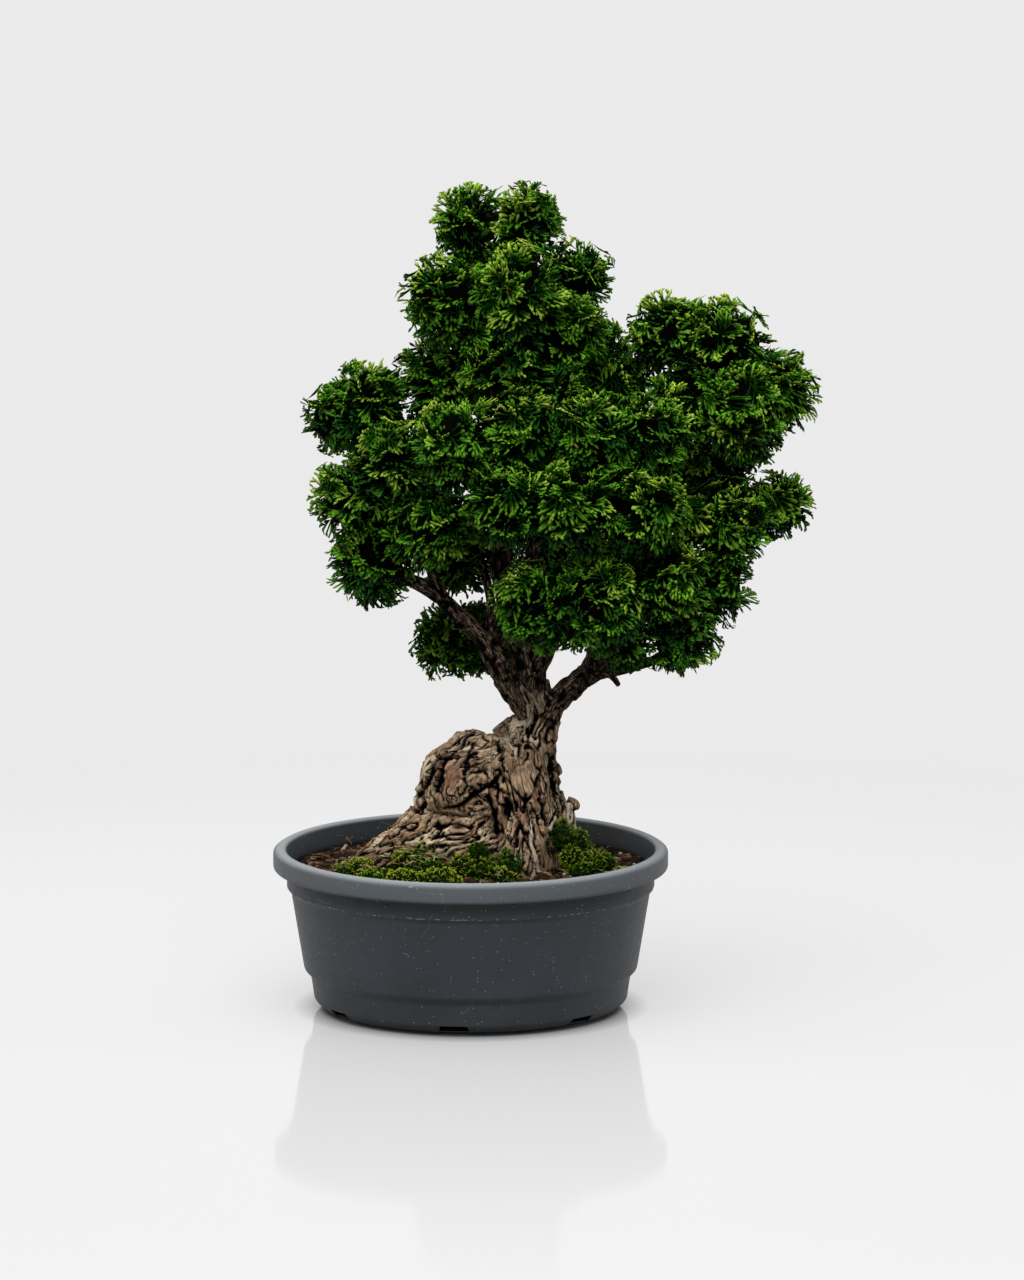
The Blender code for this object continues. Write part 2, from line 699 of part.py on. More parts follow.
def build_moss(name, lumps, cutters, collection):
    """A cushion of moss: low domes raised in small tufts, cut to the soil and the wood under them."""
    cushion, *others = [lump(name, centre, radii, collection, knots=0.14) for centre, radii in lumps]
    combine(cushion, others, "UNION")
    discard(others)
    combine(cushion, cutters, "DIFFERENCE")
    keep_largest_body(cushion)
    cushion.name = name
    finish(cushion, "moss")


def main():
    clear_scene()
    parts = make_collection("hinoki_bonsai")
    cutters = make_collection("cutters")

    build_pot(parts, cutters)
    wood = build_wood("tree_wood", parts)
    finish(wood, "wood")
    wood_cutter = build_wood("wood_cutter", cutters, FIT + 0.15)

    soil = build_soil("soil", parts)
    combine(soil, [wood_cutter], "DIFFERENCE")
    keep_largest_body(soil)
    finish(soil, "soil")

    heads = all_heads()
    for index in range(len(heads)):
        count = build_head(index, heads, wood_cutter, parts)
        print(f"{heads[index][0]}: {count} sprays")

    soil_cutter = build_soil("soil_cutter", cutters, raised=FIT)
    for name, lumps in MOSS.items():
        build_moss(name, lumps, [wood_cutter, soil_cutter], parts)
    discard([wood_cutter, soil_cutter])


main()
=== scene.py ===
# %% [markdown]
# A hinoki cypress bonsai in its plastic training pot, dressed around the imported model.
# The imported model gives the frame: where each piece is and how large it may be.
# Everything here is in metres inside Blender, but sizes are written in millimetres,
# because that is how a grower measures a tree, and one factor turns them to metres.

# %% Load the frame
import math
from functools import partial

import bpy
import numpy as np
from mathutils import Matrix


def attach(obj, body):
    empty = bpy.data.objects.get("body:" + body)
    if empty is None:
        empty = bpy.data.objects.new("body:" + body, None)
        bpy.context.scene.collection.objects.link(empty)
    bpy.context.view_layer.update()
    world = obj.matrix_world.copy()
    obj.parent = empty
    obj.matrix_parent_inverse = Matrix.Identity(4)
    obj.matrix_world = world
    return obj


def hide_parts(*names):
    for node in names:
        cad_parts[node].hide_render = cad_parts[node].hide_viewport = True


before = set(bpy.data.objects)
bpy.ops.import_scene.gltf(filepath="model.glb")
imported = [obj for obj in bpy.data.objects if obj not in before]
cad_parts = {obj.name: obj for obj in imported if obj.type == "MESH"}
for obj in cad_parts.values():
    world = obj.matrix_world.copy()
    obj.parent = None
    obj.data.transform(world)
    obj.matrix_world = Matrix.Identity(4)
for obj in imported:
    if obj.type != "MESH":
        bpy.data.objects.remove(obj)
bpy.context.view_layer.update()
MM = 0.001

# %% [markdown]
# Every material below needs the same helpers. Colours are picked on screen as sRGB hex
# values, while the renderer counts light linearly, so one function converts them. One
# adds a shader node with its settings and its links. Two more start and finish a
# material on the Principled shader, which covers plastic, bark and leaf.

# %% Colour and node helpers
def linear(colour):
    """The linear RGBA of an sRGB hex colour, ((c + 0.055) / 1.055) ** 2.4 above the toe.

    A value that isn't a string is passed on as it is.
    """
    if not isinstance(colour, str):
        return colour
    values = [int(colour[i:i + 2], 16) / 255 for i in (1, 3, 5)]
    return [v / 12.92 if v <= 0.04045 else ((v + 0.055) / 1.055) ** 2.4 for v in values] + [1.0]


def fill(tree, node, *values, **named):
    """Set or link a node's inputs: values in their order, names with _ for a space."""
    sockets = list(zip(node.inputs, values))
    sockets += [(node.inputs[key.replace("_", " ")], value) for key, value in named.items()]
    for socket, value in sockets:
        if isinstance(value, bpy.types.NodeSocket):
            tree.links.new(value, socket)
        else:
            socket.default_value = linear(value)


def add_node(tree, kind, *values, output=0, stops=(), **named):
    """Add a shader node, fill its inputs, and return one of its outputs.

    A capitalised name is an input, and a lower-case one is a setting. Stops are the
    (place, colour) pairs of a colour ramp.
    """
    node = tree.nodes.new("ShaderNode" + kind)
    for key in [key for key in named if key.islower()]:
        setattr(node, key, named.pop(key))
    fill(tree, node, *values, **named)
    if stops:
        elements = node.color_ramp.elements
        for _ in stops[2:]:
            elements.new(0.5)
        for element, (place, colour) in zip(elements, stops):
            element.position = place
            element.color = linear(colour)
    return node.outputs[output]


def start(name):
    """A new material, and the function that adds nodes to it."""
    material = bpy.data.materials.new(name)
    material.use_nodes = True
    return material, partial(add_node, material.node_tree)


def finished(material, **sockets):
    """The material, with the sockets of its Principled shader set or linked."""
    fill(material.node_tree, material.node_tree.nodes["Principled BSDF"], **sockets)
    return material


def grain(add, size_mm, detail=3.0, stretch=(1, 1, 1)):
    """Noise whose blotches are about size_mm across, read in Object coordinates."""
    place = add("Mapping", add("TexCoord", output="Object"), Scale=stretch)
    return add("TexNoise", Vector=place, Scale=1 / (size_mm * MM), Detail=detail)


# %% [markdown]
# New pieces are surfaces worked out as whole arrays of points. A grid with its columns
# wrapped round and its two ends closed by fans makes any tube, lump or turned form, and
# one function writes points and faces into a mesh without looping over the vertices.

# %% Mesh helpers
def put_mesh(name, points_mm, faces, slot, material, smooth=True, **numbers):
    """Make an object from points in mm and a list of index arrays of 3 or 4 columns."""
    mesh = bpy.data.meshes.new(name)
    mesh.vertices.add(len(points_mm))
    mesh.vertices.foreach_set("co", (np.asarray(points_mm) * MM).astype(np.float32).ravel())
    faces = [np.asarray(f, np.int32) for f in faces if len(f)]
    corners = np.concatenate([f.ravel() for f in faces])
    sizes = np.concatenate([np.full(len(f), f.shape[1]) for f in faces])
    mesh.loops.add(len(corners))
    mesh.loops.foreach_set("vertex_index", corners)
    mesh.polygons.add(len(sizes))
    mesh.polygons.foreach_set("loop_start", (np.cumsum(sizes) - sizes).astype(np.int32))
    mesh.update(calc_edges=True)
    mesh.polygons.foreach_set("use_smooth", np.full(len(sizes), smooth))
    for key, values in numbers.items():
        values = np.asarray(values, np.float32)
        kind, field = ("FLOAT", "value") if values.ndim == 1 else ("FLOAT_VECTOR", "vector")
        mesh.attributes.new(key, kind, "POINT").data.foreach_set(field, values.ravel())
    item = bpy.data.objects.new(name, mesh)
    bpy.context.scene.collection.objects.link(item)
    mesh.materials.append(material)
    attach(item, "root")
    triangles = int((sizes - 2).sum())
    print(f"{name}: {triangles} triangles")
    return item


def grid_faces(rows, columns, wrap=True):
    """Quads between neighbouring rows of a grid; wrap joins the last column to the first."""
    row, column = np.meshgrid(np.arange(rows - 1), np.arange(columns - (not wrap)), indexing="ij")
    here = row * columns + column
    right = row * columns + (column + 1) % columns
    return np.stack([here, right, right + columns, here + columns], -1).reshape(-1, 4)


def closed_tube(grid):
    """Points and faces of a grid of rings, its two ends closed by fans to their middles."""
    rows, columns = grid.shape[:2]
    points = np.concatenate([grid.reshape(-1, 3), grid[:1].mean(1), grid[-1:].mean(1)])
    ring = np.arange(columns)
    after = (ring + 1) % columns
    last = (rows - 1) * columns
    first_fan = np.stack([np.full(columns, rows * columns), after, ring], -1)
    last_fan = np.stack([np.full(columns, rows * columns + 1), last + ring, last + after], -1)
    return points, [grid_faces(rows, columns), np.concatenate([first_fan, last_fan])]


def joined(pieces):
    """Several (points, faces) pieces as one, with the later indices moved up."""
    starts = np.cumsum([0] + [len(p) for p, _ in pieces[:-1]])
    faces = [f + start for (_, sets), start in zip(pieces, starts) for f in sets]
    return np.concatenate([p for p, _ in pieces]), faces


def unit(vectors):
    """Vectors divided by their lengths."""
    return vectors / np.maximum(np.linalg.norm(vectors, axis=-1, keepdims=True), 1e-9)


# %% [markdown]
# Nothing that grew is smooth, so several pieces borrow one pattern. Value noise gives
# soft swellings: random numbers on a lattice, blended with an ease between its corners.

# %% A pattern for rough surfaces
def lattice(cells, seed):
    """A repeatable random number from 0 to 1 for each whole-number cell."""
    mixed_bits = (cells * np.array([374761393, 668265263, 1442695041])).sum(-1) + seed * 974711
    mixed_bits = (mixed_bits ^ (mixed_bits >> 13)) * 1274126177
    return ((mixed_bits ^ (mixed_bits >> 16)) & 0xFFFFF) / 0xFFFFF


def swell(points, size, seed=0):
    """Smooth noise from -1 to 1 with lumps of the given size."""
    place = points / size
    cell = np.floor(place).astype(np.int64)
    ease = place - cell
    ease = ease * ease * (3 - 2 * ease)
    total = np.zeros(len(points))
    for corner in np.ndindex(2, 2, 2):
        weight = np.prod(np.where(corner, ease, 1 - ease), -1)
        total += weight * lattice(cell + corner, seed)
    return 2 * total - 1


# %% [markdown]
# The camera comes first, because it decides how large everything appears. The ellipse
# of the pot's rim says that it looks down by 9.7 degrees. A long lens a few metres away
# keeps the pot's sides as little converging as they are in the picture.

# %% Camera
LOOK_DOWN = math.radians(9.7)
AIM = np.array([27.2, 0.0, 244.9]) * MM
DISTANCE = 6.5
FRAME_HEIGHT = 0.8397
SENSOR = 36.0

camera_data = bpy.data.cameras.new("camera")
camera = bpy.data.objects.new("camera", camera_data)
bpy.context.scene.collection.objects.link(camera)
bpy.context.scene.camera = camera
camera_data.sensor_width = SENSOR
camera_data.lens = SENSOR * DISTANCE / FRAME_HEIGHT
camera_data.clip_end = 100
camera.location = AIM + DISTANCE * np.array([0, -math.cos(LOOK_DOWN), math.sin(LOOK_DOWN)])
camera.rotation_euler = (math.pi / 2 - LOOK_DOWN, 0, 0)
print("lens", round(camera_data.lens, 1))

# %% [markdown]
# The setting is a pale studio: a polished white light table that runs on past the edge of
# the picture and glows a little, so that shadows on it stay pale, a soft key light from
# the front, and a wide light overhead, which makes the tops of the foliage glow and
# leaves the gaps between the sprays nearly black. Low in the sky lies a ring of bright
# screens. The table mirrors that ring towards the camera as brightly as it is lit
# itself, so only the mirrored pot shows, and the table has no horizon. The mirroring
# fades with distance from the pot. The glow falls to nothing where the pot stands, which
# paints a dark contact shadow round its foot, and the table is painted lighter towards
# the front, as painted light.

# %% Table and light
TABLE_RADIUS = 60.0
TABLE_COLOUR, LIT_FRONT_COLOUR, GLOW = "#a9a8a8", "#b6b5b5", 0.336
GLOSS = 0.235
FADE_START, FADE_END, FADE_POWER = 0.1, 0.95, 3.0
FRONT_START, FRONT_END = -0.1, -0.9
CONTACT_SHADOW_FULL, CONTACT_SHADOW_EDGE = 0.097, 0.118
SKY = [(0.45, 0.03), (0.52, 0.16), (0.55, 0.82), (0.625, 0.82), (0.66, 0.26), (0.95, 0.48)]

bpy.ops.mesh.primitive_circle_add(vertices=96, radius=TABLE_RADIUS, fill_type="NGON")
table = bpy.context.object
table.name = "table"
table.visible_diffuse = False
white, add = start("polished white acrylic table")
place = add("TexCoord", output="Object")
away = add("VectorMath", place, operation="LENGTH", output="Value")
near = add("MapRange", away, FADE_END, FADE_START)
fade = add("Math", near, FADE_POWER, operation="POWER")
# Painted light: the table is painted lighter towards the front, from 0.1 to 0.9 m in front of the pot.
front = add("MapRange", add("SeparateXYZ", place, output="Y"), FRONT_START, FRONT_END)
table.data.materials.append(finished(
    white, Roughness=0.07, IOR=1.42, Emission_Color="#fefdfd",
    Specular_IOR_Level=add("Math", fade, GLOSS, operation="MULTIPLY"),
    Base_Color=add("MixRGB", front, TABLE_COLOUR, LIT_FRONT_COLOUR),
    # Painted shadow: the glow falls to nothing under the pot, which paints a dark contact shadow round
    # its foot.
    Emission_Strength=add("MapRange", away, CONTACT_SHADOW_FULL, CONTACT_SHADOW_EDGE, To_Max=GLOW)))

world = bpy.data.worlds.new("studio")
bpy.context.scene.world = world
world.use_nodes = True
add = partial(add_node, world.node_tree)
upward = add("SeparateXYZ", add("TexCoord", output="Generated"), output="Z")
sky = add("ValToRGB", add("MapRange", upward, -1.0),
          stops=[(place, (grey, grey, grey * 1.01, 1)) for place, grey in SKY])
fill(world.node_tree, world.node_tree.nodes["Background"], Color=sky)


def soft_sun(name, from_where, width_degrees, strength):
    """A very wide sun shining from a direction towards the tree, even over the whole table."""
    data = bpy.data.lights.new(name, "SUN")
    data.angle = math.radians(width_degrees)
    data.energy = strength
    lamp = bpy.data.objects.new(name, data)
    bpy.context.scene.collection.objects.link(lamp)
    x, y, z = from_where
    lamp.rotation_euler = (math.atan2(math.hypot(x, y), z), 0, math.atan2(y, x) + math.pi / 2)


soft_sun("overhead", (0.0, -0.2, 1.0), 75, 1.75)
soft_sun("key", (-0.16, -0.8, 1.0), 55, 1.15)
bpy.context.scene.view_settings.view_transform = "Standard"
print("stage ready")

# %% [markdown]
# The pot is a moulded nursery pan in grey polypropylene: a wide rolled lip, a shoulder
# band, a tapering body, a stepped foot band and a skirt with drain slots. A moulded pan
# is a turned form, so its profile is carried once round the axis. Sharp corners would
# look machined, so each corner of the profile is cut back and rounded by an arc.

# %% Pot profile
POT_OUTSIDE = [(0, 0), (90, 0), (90, 2.5), (98.5, 2.5), (103.2, 7), (105.4, 22.4), (109.8, 27),
               (118.4, 79), (121, 81), (121, 93), (128.5, 93), (130, 94.5), (130, 104.5),
               (126, 107)]
POT_INSIDE = [(121.7, 106.2), (118.5, 93), (118.5, 82.5), (115.9, 80), (107.3, 29),
              (102.9, 23.4), (100.7, 6), (97.7, 3), (0, 3)]
CORNER_ROUND = 1.3
POT_SIDES = 208


def rounded(corners, radius, steps=4):
    """The outline with each inner corner replaced by a quadratic curve cut back by radius."""
    corners = np.array(corners, float)
    before, here, after = corners[:-2], corners[1:-1], corners[2:]
    back, on = before - here, after - here
    cut_back = np.minimum(radius, 0.4 * np.linalg.norm(back, axis=1))[:, None] * unit(back)
    cut_on = np.minimum(radius, 0.4 * np.linalg.norm(on, axis=1))[:, None] * unit(on)
    t = np.linspace(0, 1, steps)[None, :, None]
    curve = (here[:, None] + (1 - t) ** 2 * cut_back[:, None] + t ** 2 * cut_on[:, None])
    return np.concatenate([corners[:1], curve.reshape(-1, 2), corners[-1:]])


def turned(outline, sides):
    """The outline carried round the axis: point (r, z) becomes (r cos a, r sin a, z)."""
    angle = np.linspace(0, 2 * np.pi, sides, endpoint=False)
    radius, height = outline[:, :1], outline[:, 1:]
    return np.stack([radius * np.cos(angle), radius * np.sin(angle),
                     height + 0 * angle], -1)


pot_outline = rounded(POT_OUTSIDE + POT_INSIDE, CORNER_ROUND)[1:-1]
print("pot outline:", len(pot_outline), "points")

# %% [markdown]
# Polypropylene comes out of the mould with a satin skin, dark blue grey here. The lip is
# painted lighter as painted light, with a pale painted highlight along its top, and the
# band under the lip and the inside wall above the soil are painted darker as painted
# shade. Potting dust clings as pale specks, handling leaves hair-fine curved scratches,
# and watering leaves faint streaks down the side.
# Specks are small cells kept at random, and a scratch is the thin line where a slow
# noise crosses one value, kept only in patches.

# %% Polypropylene
# The inside of the pot widens towards its lip, from about 93 mm up.
INNER_RADIUS, INNER_LOW = 119.2, 88
INNER_FLARE, FLARE_OFFSET = 0.246, 0.0229


def polypropylene():
    material, add = start("satin grey polypropylene")
    place = add("TexCoord", output="Object")
    height = add("SeparateXYZ", place, output="Z")

    def level(low_mm, high_mm):
        """A mask that climbs from 0 to 1 between two heights."""
        return add("MapRange", height, low_mm * MM, high_mm * MM)

    # Painted shade: the band under the lip, between about 81 and 93 mm, is painted nearly black as the
    # shade in that recess.
    painted_recess_shade = add("ValToRGB", level(80, 110), stops=[(0.03, "#000000"), (0.3, "#ffffff"),
                                                    (0.4, "#ffffff"), (0.45, "#000000")])
    # Painted shade: the inside wall above 88 mm is painted darker, as the shade inside the pot.
    radius = add("VectorMath", add("Mapping", place, Scale=(1, 1, 0)), operation="LENGTH",
                 output="Value")
    flare = add("Math", height, -INNER_FLARE, FLARE_OFFSET, operation="MULTIPLY_ADD")
    lean = add("Math", radius, add("Math", flare, 0.0, operation="MINIMUM"), operation="ADD")
    inner = add("Math", add("Math", lean, INNER_RADIUS * MM, operation="LESS_THAN"),
                add("Math", height, INNER_LOW * MM, operation="GREATER_THAN"), operation="MULTIPLY")
    distance = add("TexVoronoi", Vector=place, Scale=1 / (2.6 * MM), output="Distance")
    chosen = add("SeparateColor", distance.node.outputs["Color"], output="Red")
    speck = add("Math", add("Math", distance, 0.15, operation="LESS_THAN"),
                add("Math", chosen, 0.72, operation="GREATER_THAN"), operation="MULTIPLY")
    line = add("Math", add("Math", grain(add, 26, 0), 0.5, operation="SUBTRACT"),
               operation="ABSOLUTE")
    hair = add("Math", add("Math", line, 0.0022, operation="LESS_THAN"),
               add("Math", grain(add, 11, 1), 0.6, operation="GREATER_THAN"),
               operation="MULTIPLY")
    dust = add("Math", speck, add("Math", hair, 0.6, operation="MULTIPLY"), operation="MAXIMUM")
    streaks = add("MapRange", grain(add, 9, 3, (1, 1, 0.06)), 0.52, 0.8)

    base = add("ValToRGB", grain(add, 60, 4), stops=[(0.3, "#343a3f"), (0.7, "#40464c")])
    for mask, most, colour in (
            # Painted light: from about 93 mm up, the lip is painted lighter.
            (streaks, 0.35, "#4a5155"), (painted_recess_shade, 0.97, "#0c0e10"), (level(92.5, 94.5), 0.85, "#646a6e"),
            # Painted highlight: a thin band at the top of the lip, 104.5 to 106.5 mm, is painted pale.
            (inner, 0.85, "#23272b"), (level(104.5, 106.5), 0.85, "#a2a8ab"),
            (level(30, 4), 0.5, "#2f3437"), (dust, 0.6, "#b9bcb9")):
        base = add("MixRGB", add("Math", mask, most, operation="MULTIPLY"), base, colour)
    return finished(
        material, IOR=1.49, Specular_IOR_Level=0.38, Base_Color=base,
        Roughness=add("MapRange", grain(add, 5, 5), To_Min=0.42, To_Max=0.62),
        Normal=add("Bump", Height=grain(add, 0.9, 3), Strength=0.12, Distance=0.1 * MM))


POLYPROPYLENE = polypropylene()

# %% [markdown]
# The seven drain slots are cut through the corner between floor and skirt, as they are
# in the mould, with a Boolean: each cutter is a small wedge, wider below than above.

# %% Pot with its drain slots
SLOTS = 7
SLOT_FIRST = math.radians(-96)
SLOT_LOW, SLOT_HIGH = (96, 112), (-3.0, 7.5)
SLOT_WIDTHS = (23, 18)


def slot_cutter(angle):
    """A closed wedge between two radii and two heights, narrower at its top."""
    grid = np.array([[[r, side * width / 2, z] for r, side in
                      ((SLOT_LOW[0], -1), (SLOT_LOW[1], -1), (SLOT_LOW[1], 1), (SLOT_LOW[0], 1))]
                     for width, z in zip(SLOT_WIDTHS, SLOT_HIGH)], float)
    turn = np.array([[math.cos(angle), math.sin(angle), 0],
                     [-math.sin(angle), math.cos(angle), 0], [0, 0, 1]])
    return closed_tube(grid @ turn)


pot_points, pot_faces = closed_tube(turned(pot_outline, POT_SIDES))
pot = put_mesh("moulded_pot", pot_points, pot_faces, "pot", POLYPROPYLENE)
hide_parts("pot")
cutter_points, cutter_faces = joined([slot_cutter(SLOT_FIRST + 2 * math.pi * k / SLOTS)
                                      for k in range(SLOTS)])
cutter = put_mesh("slot_cutter", cutter_points, cutter_faces, "pot", POLYPROPYLENE, False)
cut = pot.modifiers.new("drain slots", "BOOLEAN")
cut.operation = "DIFFERENCE"
cut.object = cutter
bpy.context.view_layer.update()
cut_mesh = bpy.data.meshes.new_from_object(
    pot.evaluated_get(bpy.context.evaluated_depsgraph_get()))
pot.modifiers.clear()
pot.data = cut_mesh
bpy.data.objects.remove(cutter)
cut_mesh.shade_smooth()
cut_mesh.set_sharp_from_angle(angle=math.radians(38))
print("pot after its slots:", len(cut_mesh.polygons), "faces")

# %% [markdown]
# Where the two halves of the mould met, at the foot of the shoulder band, a little
# plastic squeezed out and was trimmed badly. It left a broken row of pale burrs.

# %% Burrs on the shoulder
BURR_COUNT, BURR_RADIUS, BURR_HEIGHT = 150, 121.0, 81.6


def burr_tufts(rng):
    """Small three-sided spikes round the shoulder, as (points, faces), bent any way."""
    angle = rng.uniform(0, 2 * np.pi, BURR_COUNT)
    out = np.stack([np.cos(angle), np.sin(angle), 0 * angle], -1)
    side = np.stack([-np.sin(angle), np.cos(angle), 0 * angle], -1)
    up = np.array([0, 0, 1.0])
    seat = BURR_RADIUS * out + (BURR_HEIGHT + rng.normal(0, 0.25, (BURR_COUNT, 1))) * up
    wide = rng.gamma(2.0, 0.45, (BURR_COUNT, 1)) + 0.3
    base = [seat + wide * side - 0.3 * out, seat - wide * side - 0.3 * out,
            seat + 0.5 * up - 0.3 * out]
    peak = (seat + rng.uniform(0.15, 0.7, (BURR_COUNT, 1)) * out
            + rng.normal(0, 0.8, (BURR_COUNT, 1)) * wide * side - 0.2 * up)
    points = np.stack(base + [peak], 1).reshape(-1, 3)
    corner = np.array([(0, 1, 3), (1, 2, 3), (2, 0, 3), (0, 2, 1)])
    return points, [(np.arange(BURR_COUNT)[:, None, None] * 4 + corner).reshape(-1, 3)]


burr_plastic = finished(start("pale frayed polypropylene")[0], Roughness=0.6,
                        Base_Color="#8b9194")
put_mesh("shoulder_burrs", *burr_tufts(np.random.default_rng(3)), "pot", burr_plastic, False)

# %% [markdown]
# The wood grew as one body, but its bark changes: flaky plates on the trunk, plates
# bent round the burl on the left, folds on the low mass under it, and tighter strips on
# the limbs. The trunk is built as overlapping surfaces that are melted into one skin by
# a voxel remesh, and the bark is then raised on that skin. The limbs stay plain tubes
# along smooth routes, because there the bark can follow each limb's own length.

# %% Wood routes, x y z and radius in mm
TRUNK = [(24, 4, 78, 44), (24, 4, 86, 46), (25, 4, 99, 45), (29, 5, 117, 38), (32, 6, 134, 32),
         (33, 7, 146, 26), (32, 8, 158, 25), (34, 8, 170, 23.5), (37, 8, 181, 21),
         (40, 8, 190, 17.5), (41, 8, 200, 15)]
LUMPS = [((-7, -8, 153), (27, 26, 30)), ((-3, -13, 183), (12, 8, 8)),
         ((14, -8, 148), (31, 25, 36)), ((-8, -2, 111), (46, 36, 30)),
         ((59, 3, 124), (13, 11, 14)), ((64, 2, 134), (9, 8, 6)), ((-27, -8, 141), (10, 12, 13))]
ROOTS = [
    [(-5, -4, 122, 20), (-46, -5, 113, 12), (-62, -6, 102, 9), (-76, -7, 92, 7), (-88, -8, 80, 4)],
    [(55, 4, 122, 12), (72, 0, 105, 9), (84, -4, 90, 7), (90, -6, 78, 4)],
    [(34, -18, 118, 9), (39, -31, 103, 5), (41, -41, 90, 3)],
    [(28, 28, 116, 13), (22, 55, 99, 9), (12, 74, 84, 6)],
    [(-20, 22, 112, 12), (-42, 44, 97, 8), (-54, 58, 82, 5)],
]
LIMBS = [
    [(41, 8, 190, 15), (40, 8, 217, 11), (35, 10, 240, 10), (25, 12, 266, 8), (21, 12, 293, 7),
     (23, 12, 319, 6.5), (27, 12, 353, 6), (29, 10, 390, 5), (26, 8, 430, 4), (21, 6, 470, 3),
     (16, 4, 505, 2)],
    [(38, 2, 196, 11), (25, -4, 218, 9), (17, -8, 233, 7.5), (8, -12, 248, 6.5),
     (-6, -14, 262, 5.6), (-18, -16, 274, 5), (-30, -18, 283, 4.5), (-46, -20, 291, 3.5),
     (-63, -18, 301, 2.5)],
    [(-16, -16, 272, 4), (-25, -16, 291, 3.2), (-33, -18, 311, 2.8), (-46, -16, 334, 2.4),
     (-56, -8, 360, 2.2), (-65, 2, 388, 1.8)],
    [(19, -6, 231, 3.8), (14, 8, 250, 3.4), (13, 25, 267, 3), (8, 40, 285, 2.6),
     (-4, 52, 300, 2.2)],
    [(41, 5, 220, 7.5), (53, 0, 245, 5.5), (62, -15, 274, 5), (67, -35, 304, 4.5),
     (68, -50, 333, 3.5), (65, -55, 361, 2.8), (59, -50, 387, 2.2)],
    [(46, 5, 191, 11.5), (60, 2, 207.5, 8.5), (73, -2, 219.5, 8.5), (86, -6, 226, 7),
     (101, -14, 229, 4.2), (118, -24, 235, 3.2), (132, -34, 245, 2.4)],
    [(78, -2, 223, 7), (89, 4, 241, 6), (109, 8, 264, 5.5), (130, 12, 296, 5),
     (144, 12, 329, 4.5), (151, 10, 363, 4), (158, 6, 396, 3.2), (165, 4, 427, 2.4)],
    [(82, -4, 225, 5), (80, -30, 245, 4), (78, -54, 268, 3), (76, -66, 284, 2.2)],
    [(27, 12, 262, 5), (38, 32, 290, 4), (52, 50, 318, 3.2), (68, 58, 340, 2.4)],
    [(92, 5, 243, 4.4), (100, 24, 256, 3.4), (105, 44, 272, 2.6)],
    [(24, 12, 320, 4.4), (4, 2, 352, 3.4), (-10, -22, 372, 2.4)],
    [(28, 11, 372, 4.2), (44, -6, 396, 3.2), (54, -22, 408, 2.4)],
    [(29, 10, 388, 4), (45, 26, 408, 3.2), (62, 24, 424, 2.4)],
    [(36, 10, 236, 4), (22, 34, 238, 3), (8, 50, 240, 2.2)],
    [(4, -13, 253, 3), (-2, -20, 257, 2.4), (-11, -26, 259, 1.6)],
    [(84, -6, 228, 3.4), (92, -14, 224, 2.6), (97, -19, 218, 1.8)],
]


# %% Routes and tubes
def smooth_route(corners, step):
    """A Catmull-Rom curve through the corners, (x, y, z, radius), with a point every step mm."""
    corners = np.array(corners, float)
    padded = np.concatenate([2 * corners[:1] - corners[1:2], corners,
                             2 * corners[-1:] - corners[-2:-1]])
    lengths = np.linalg.norm(np.diff(corners[:, :3], axis=0), axis=1)
    count = np.maximum(1, np.ceil(lengths / step)).astype(int)
    piece = np.repeat(np.arange(len(count)), count)
    t = np.concatenate([np.arange(n) / n for n in count])[:, None]
    a, b, c, d = (padded[piece + k] for k in range(4))
    curve = 0.5 * (2 * b + (c - a) * t + (2 * a - 5 * b + 4 * c - d) * t ** 2
                   + (3 * b - a - 3 * c + d) * t ** 3)
    return np.concatenate([curve, corners[-1:]])


def section_axes(route):
    """Two unit vectors across the route at each of its points, from its tangent."""
    tangent = unit(np.gradient(route[:, :3], axis=0))
    quiet = np.eye(3)[np.argmin(np.abs(tangent.mean(0)))]
    side = unit(np.cross(tangent, quiet))
    return side, np.cross(tangent, side)


def tube_grid(route, sides, scale=1.0):
    """Rings of points round a route: centre + radius * scale * (cos a * side + sin a * up)."""
    side, up = section_axes(route)
    angle = np.linspace(0, 2 * np.pi, sides, endpoint=False)
    spoke = (np.cos(angle)[None, :, None] * side[:, None]
             + np.sin(angle)[None, :, None] * up[:, None])
    reach = route[:, None, 3:] * (np.asarray(scale)[..., None] if np.ndim(scale) else scale)
    return route[:, None, :3] + reach * spoke


def lump_grid(centre, radii, rows=20, columns=36):
    """An ellipsoid as rings from pole to pole, each just short of its pole."""
    polar = np.linspace(0.04, np.pi - 0.04, rows)[:, None]
    angle = np.linspace(0, 2 * np.pi, columns, endpoint=False)
    sphere = np.stack([np.sin(polar) * np.cos(angle), np.sin(polar) * np.sin(angle),
                       -np.cos(polar) + 0 * angle], -1)
    return np.array(centre) + sphere * np.array(radii)


# %% Trunk body
FLUTE_DEPTH = 0.11
TRUNK_SIDES = 72
TRUNK_VOXEL = 1.05
LIMB_BASES = 232


def trunk_grid():
    """The trunk's rings, fluted: r * (1 + depth * (cos 6a + half cos 3a)), deepest low down."""
    route = smooth_route(TRUNK, 3)
    angle = np.linspace(0, 2 * np.pi, TRUNK_SIDES, endpoint=False)
    height = route[:, 2:3]
    fade = np.clip((185 - height) / 60, 0, 1)
    flute = 1 + FLUTE_DEPTH * fade * (np.cos(6 * angle + 0.02 * height)
                                      + 0.5 * np.cos(3 * angle + 1.2))
    return tube_grid(route, TRUNK_SIDES, flute)


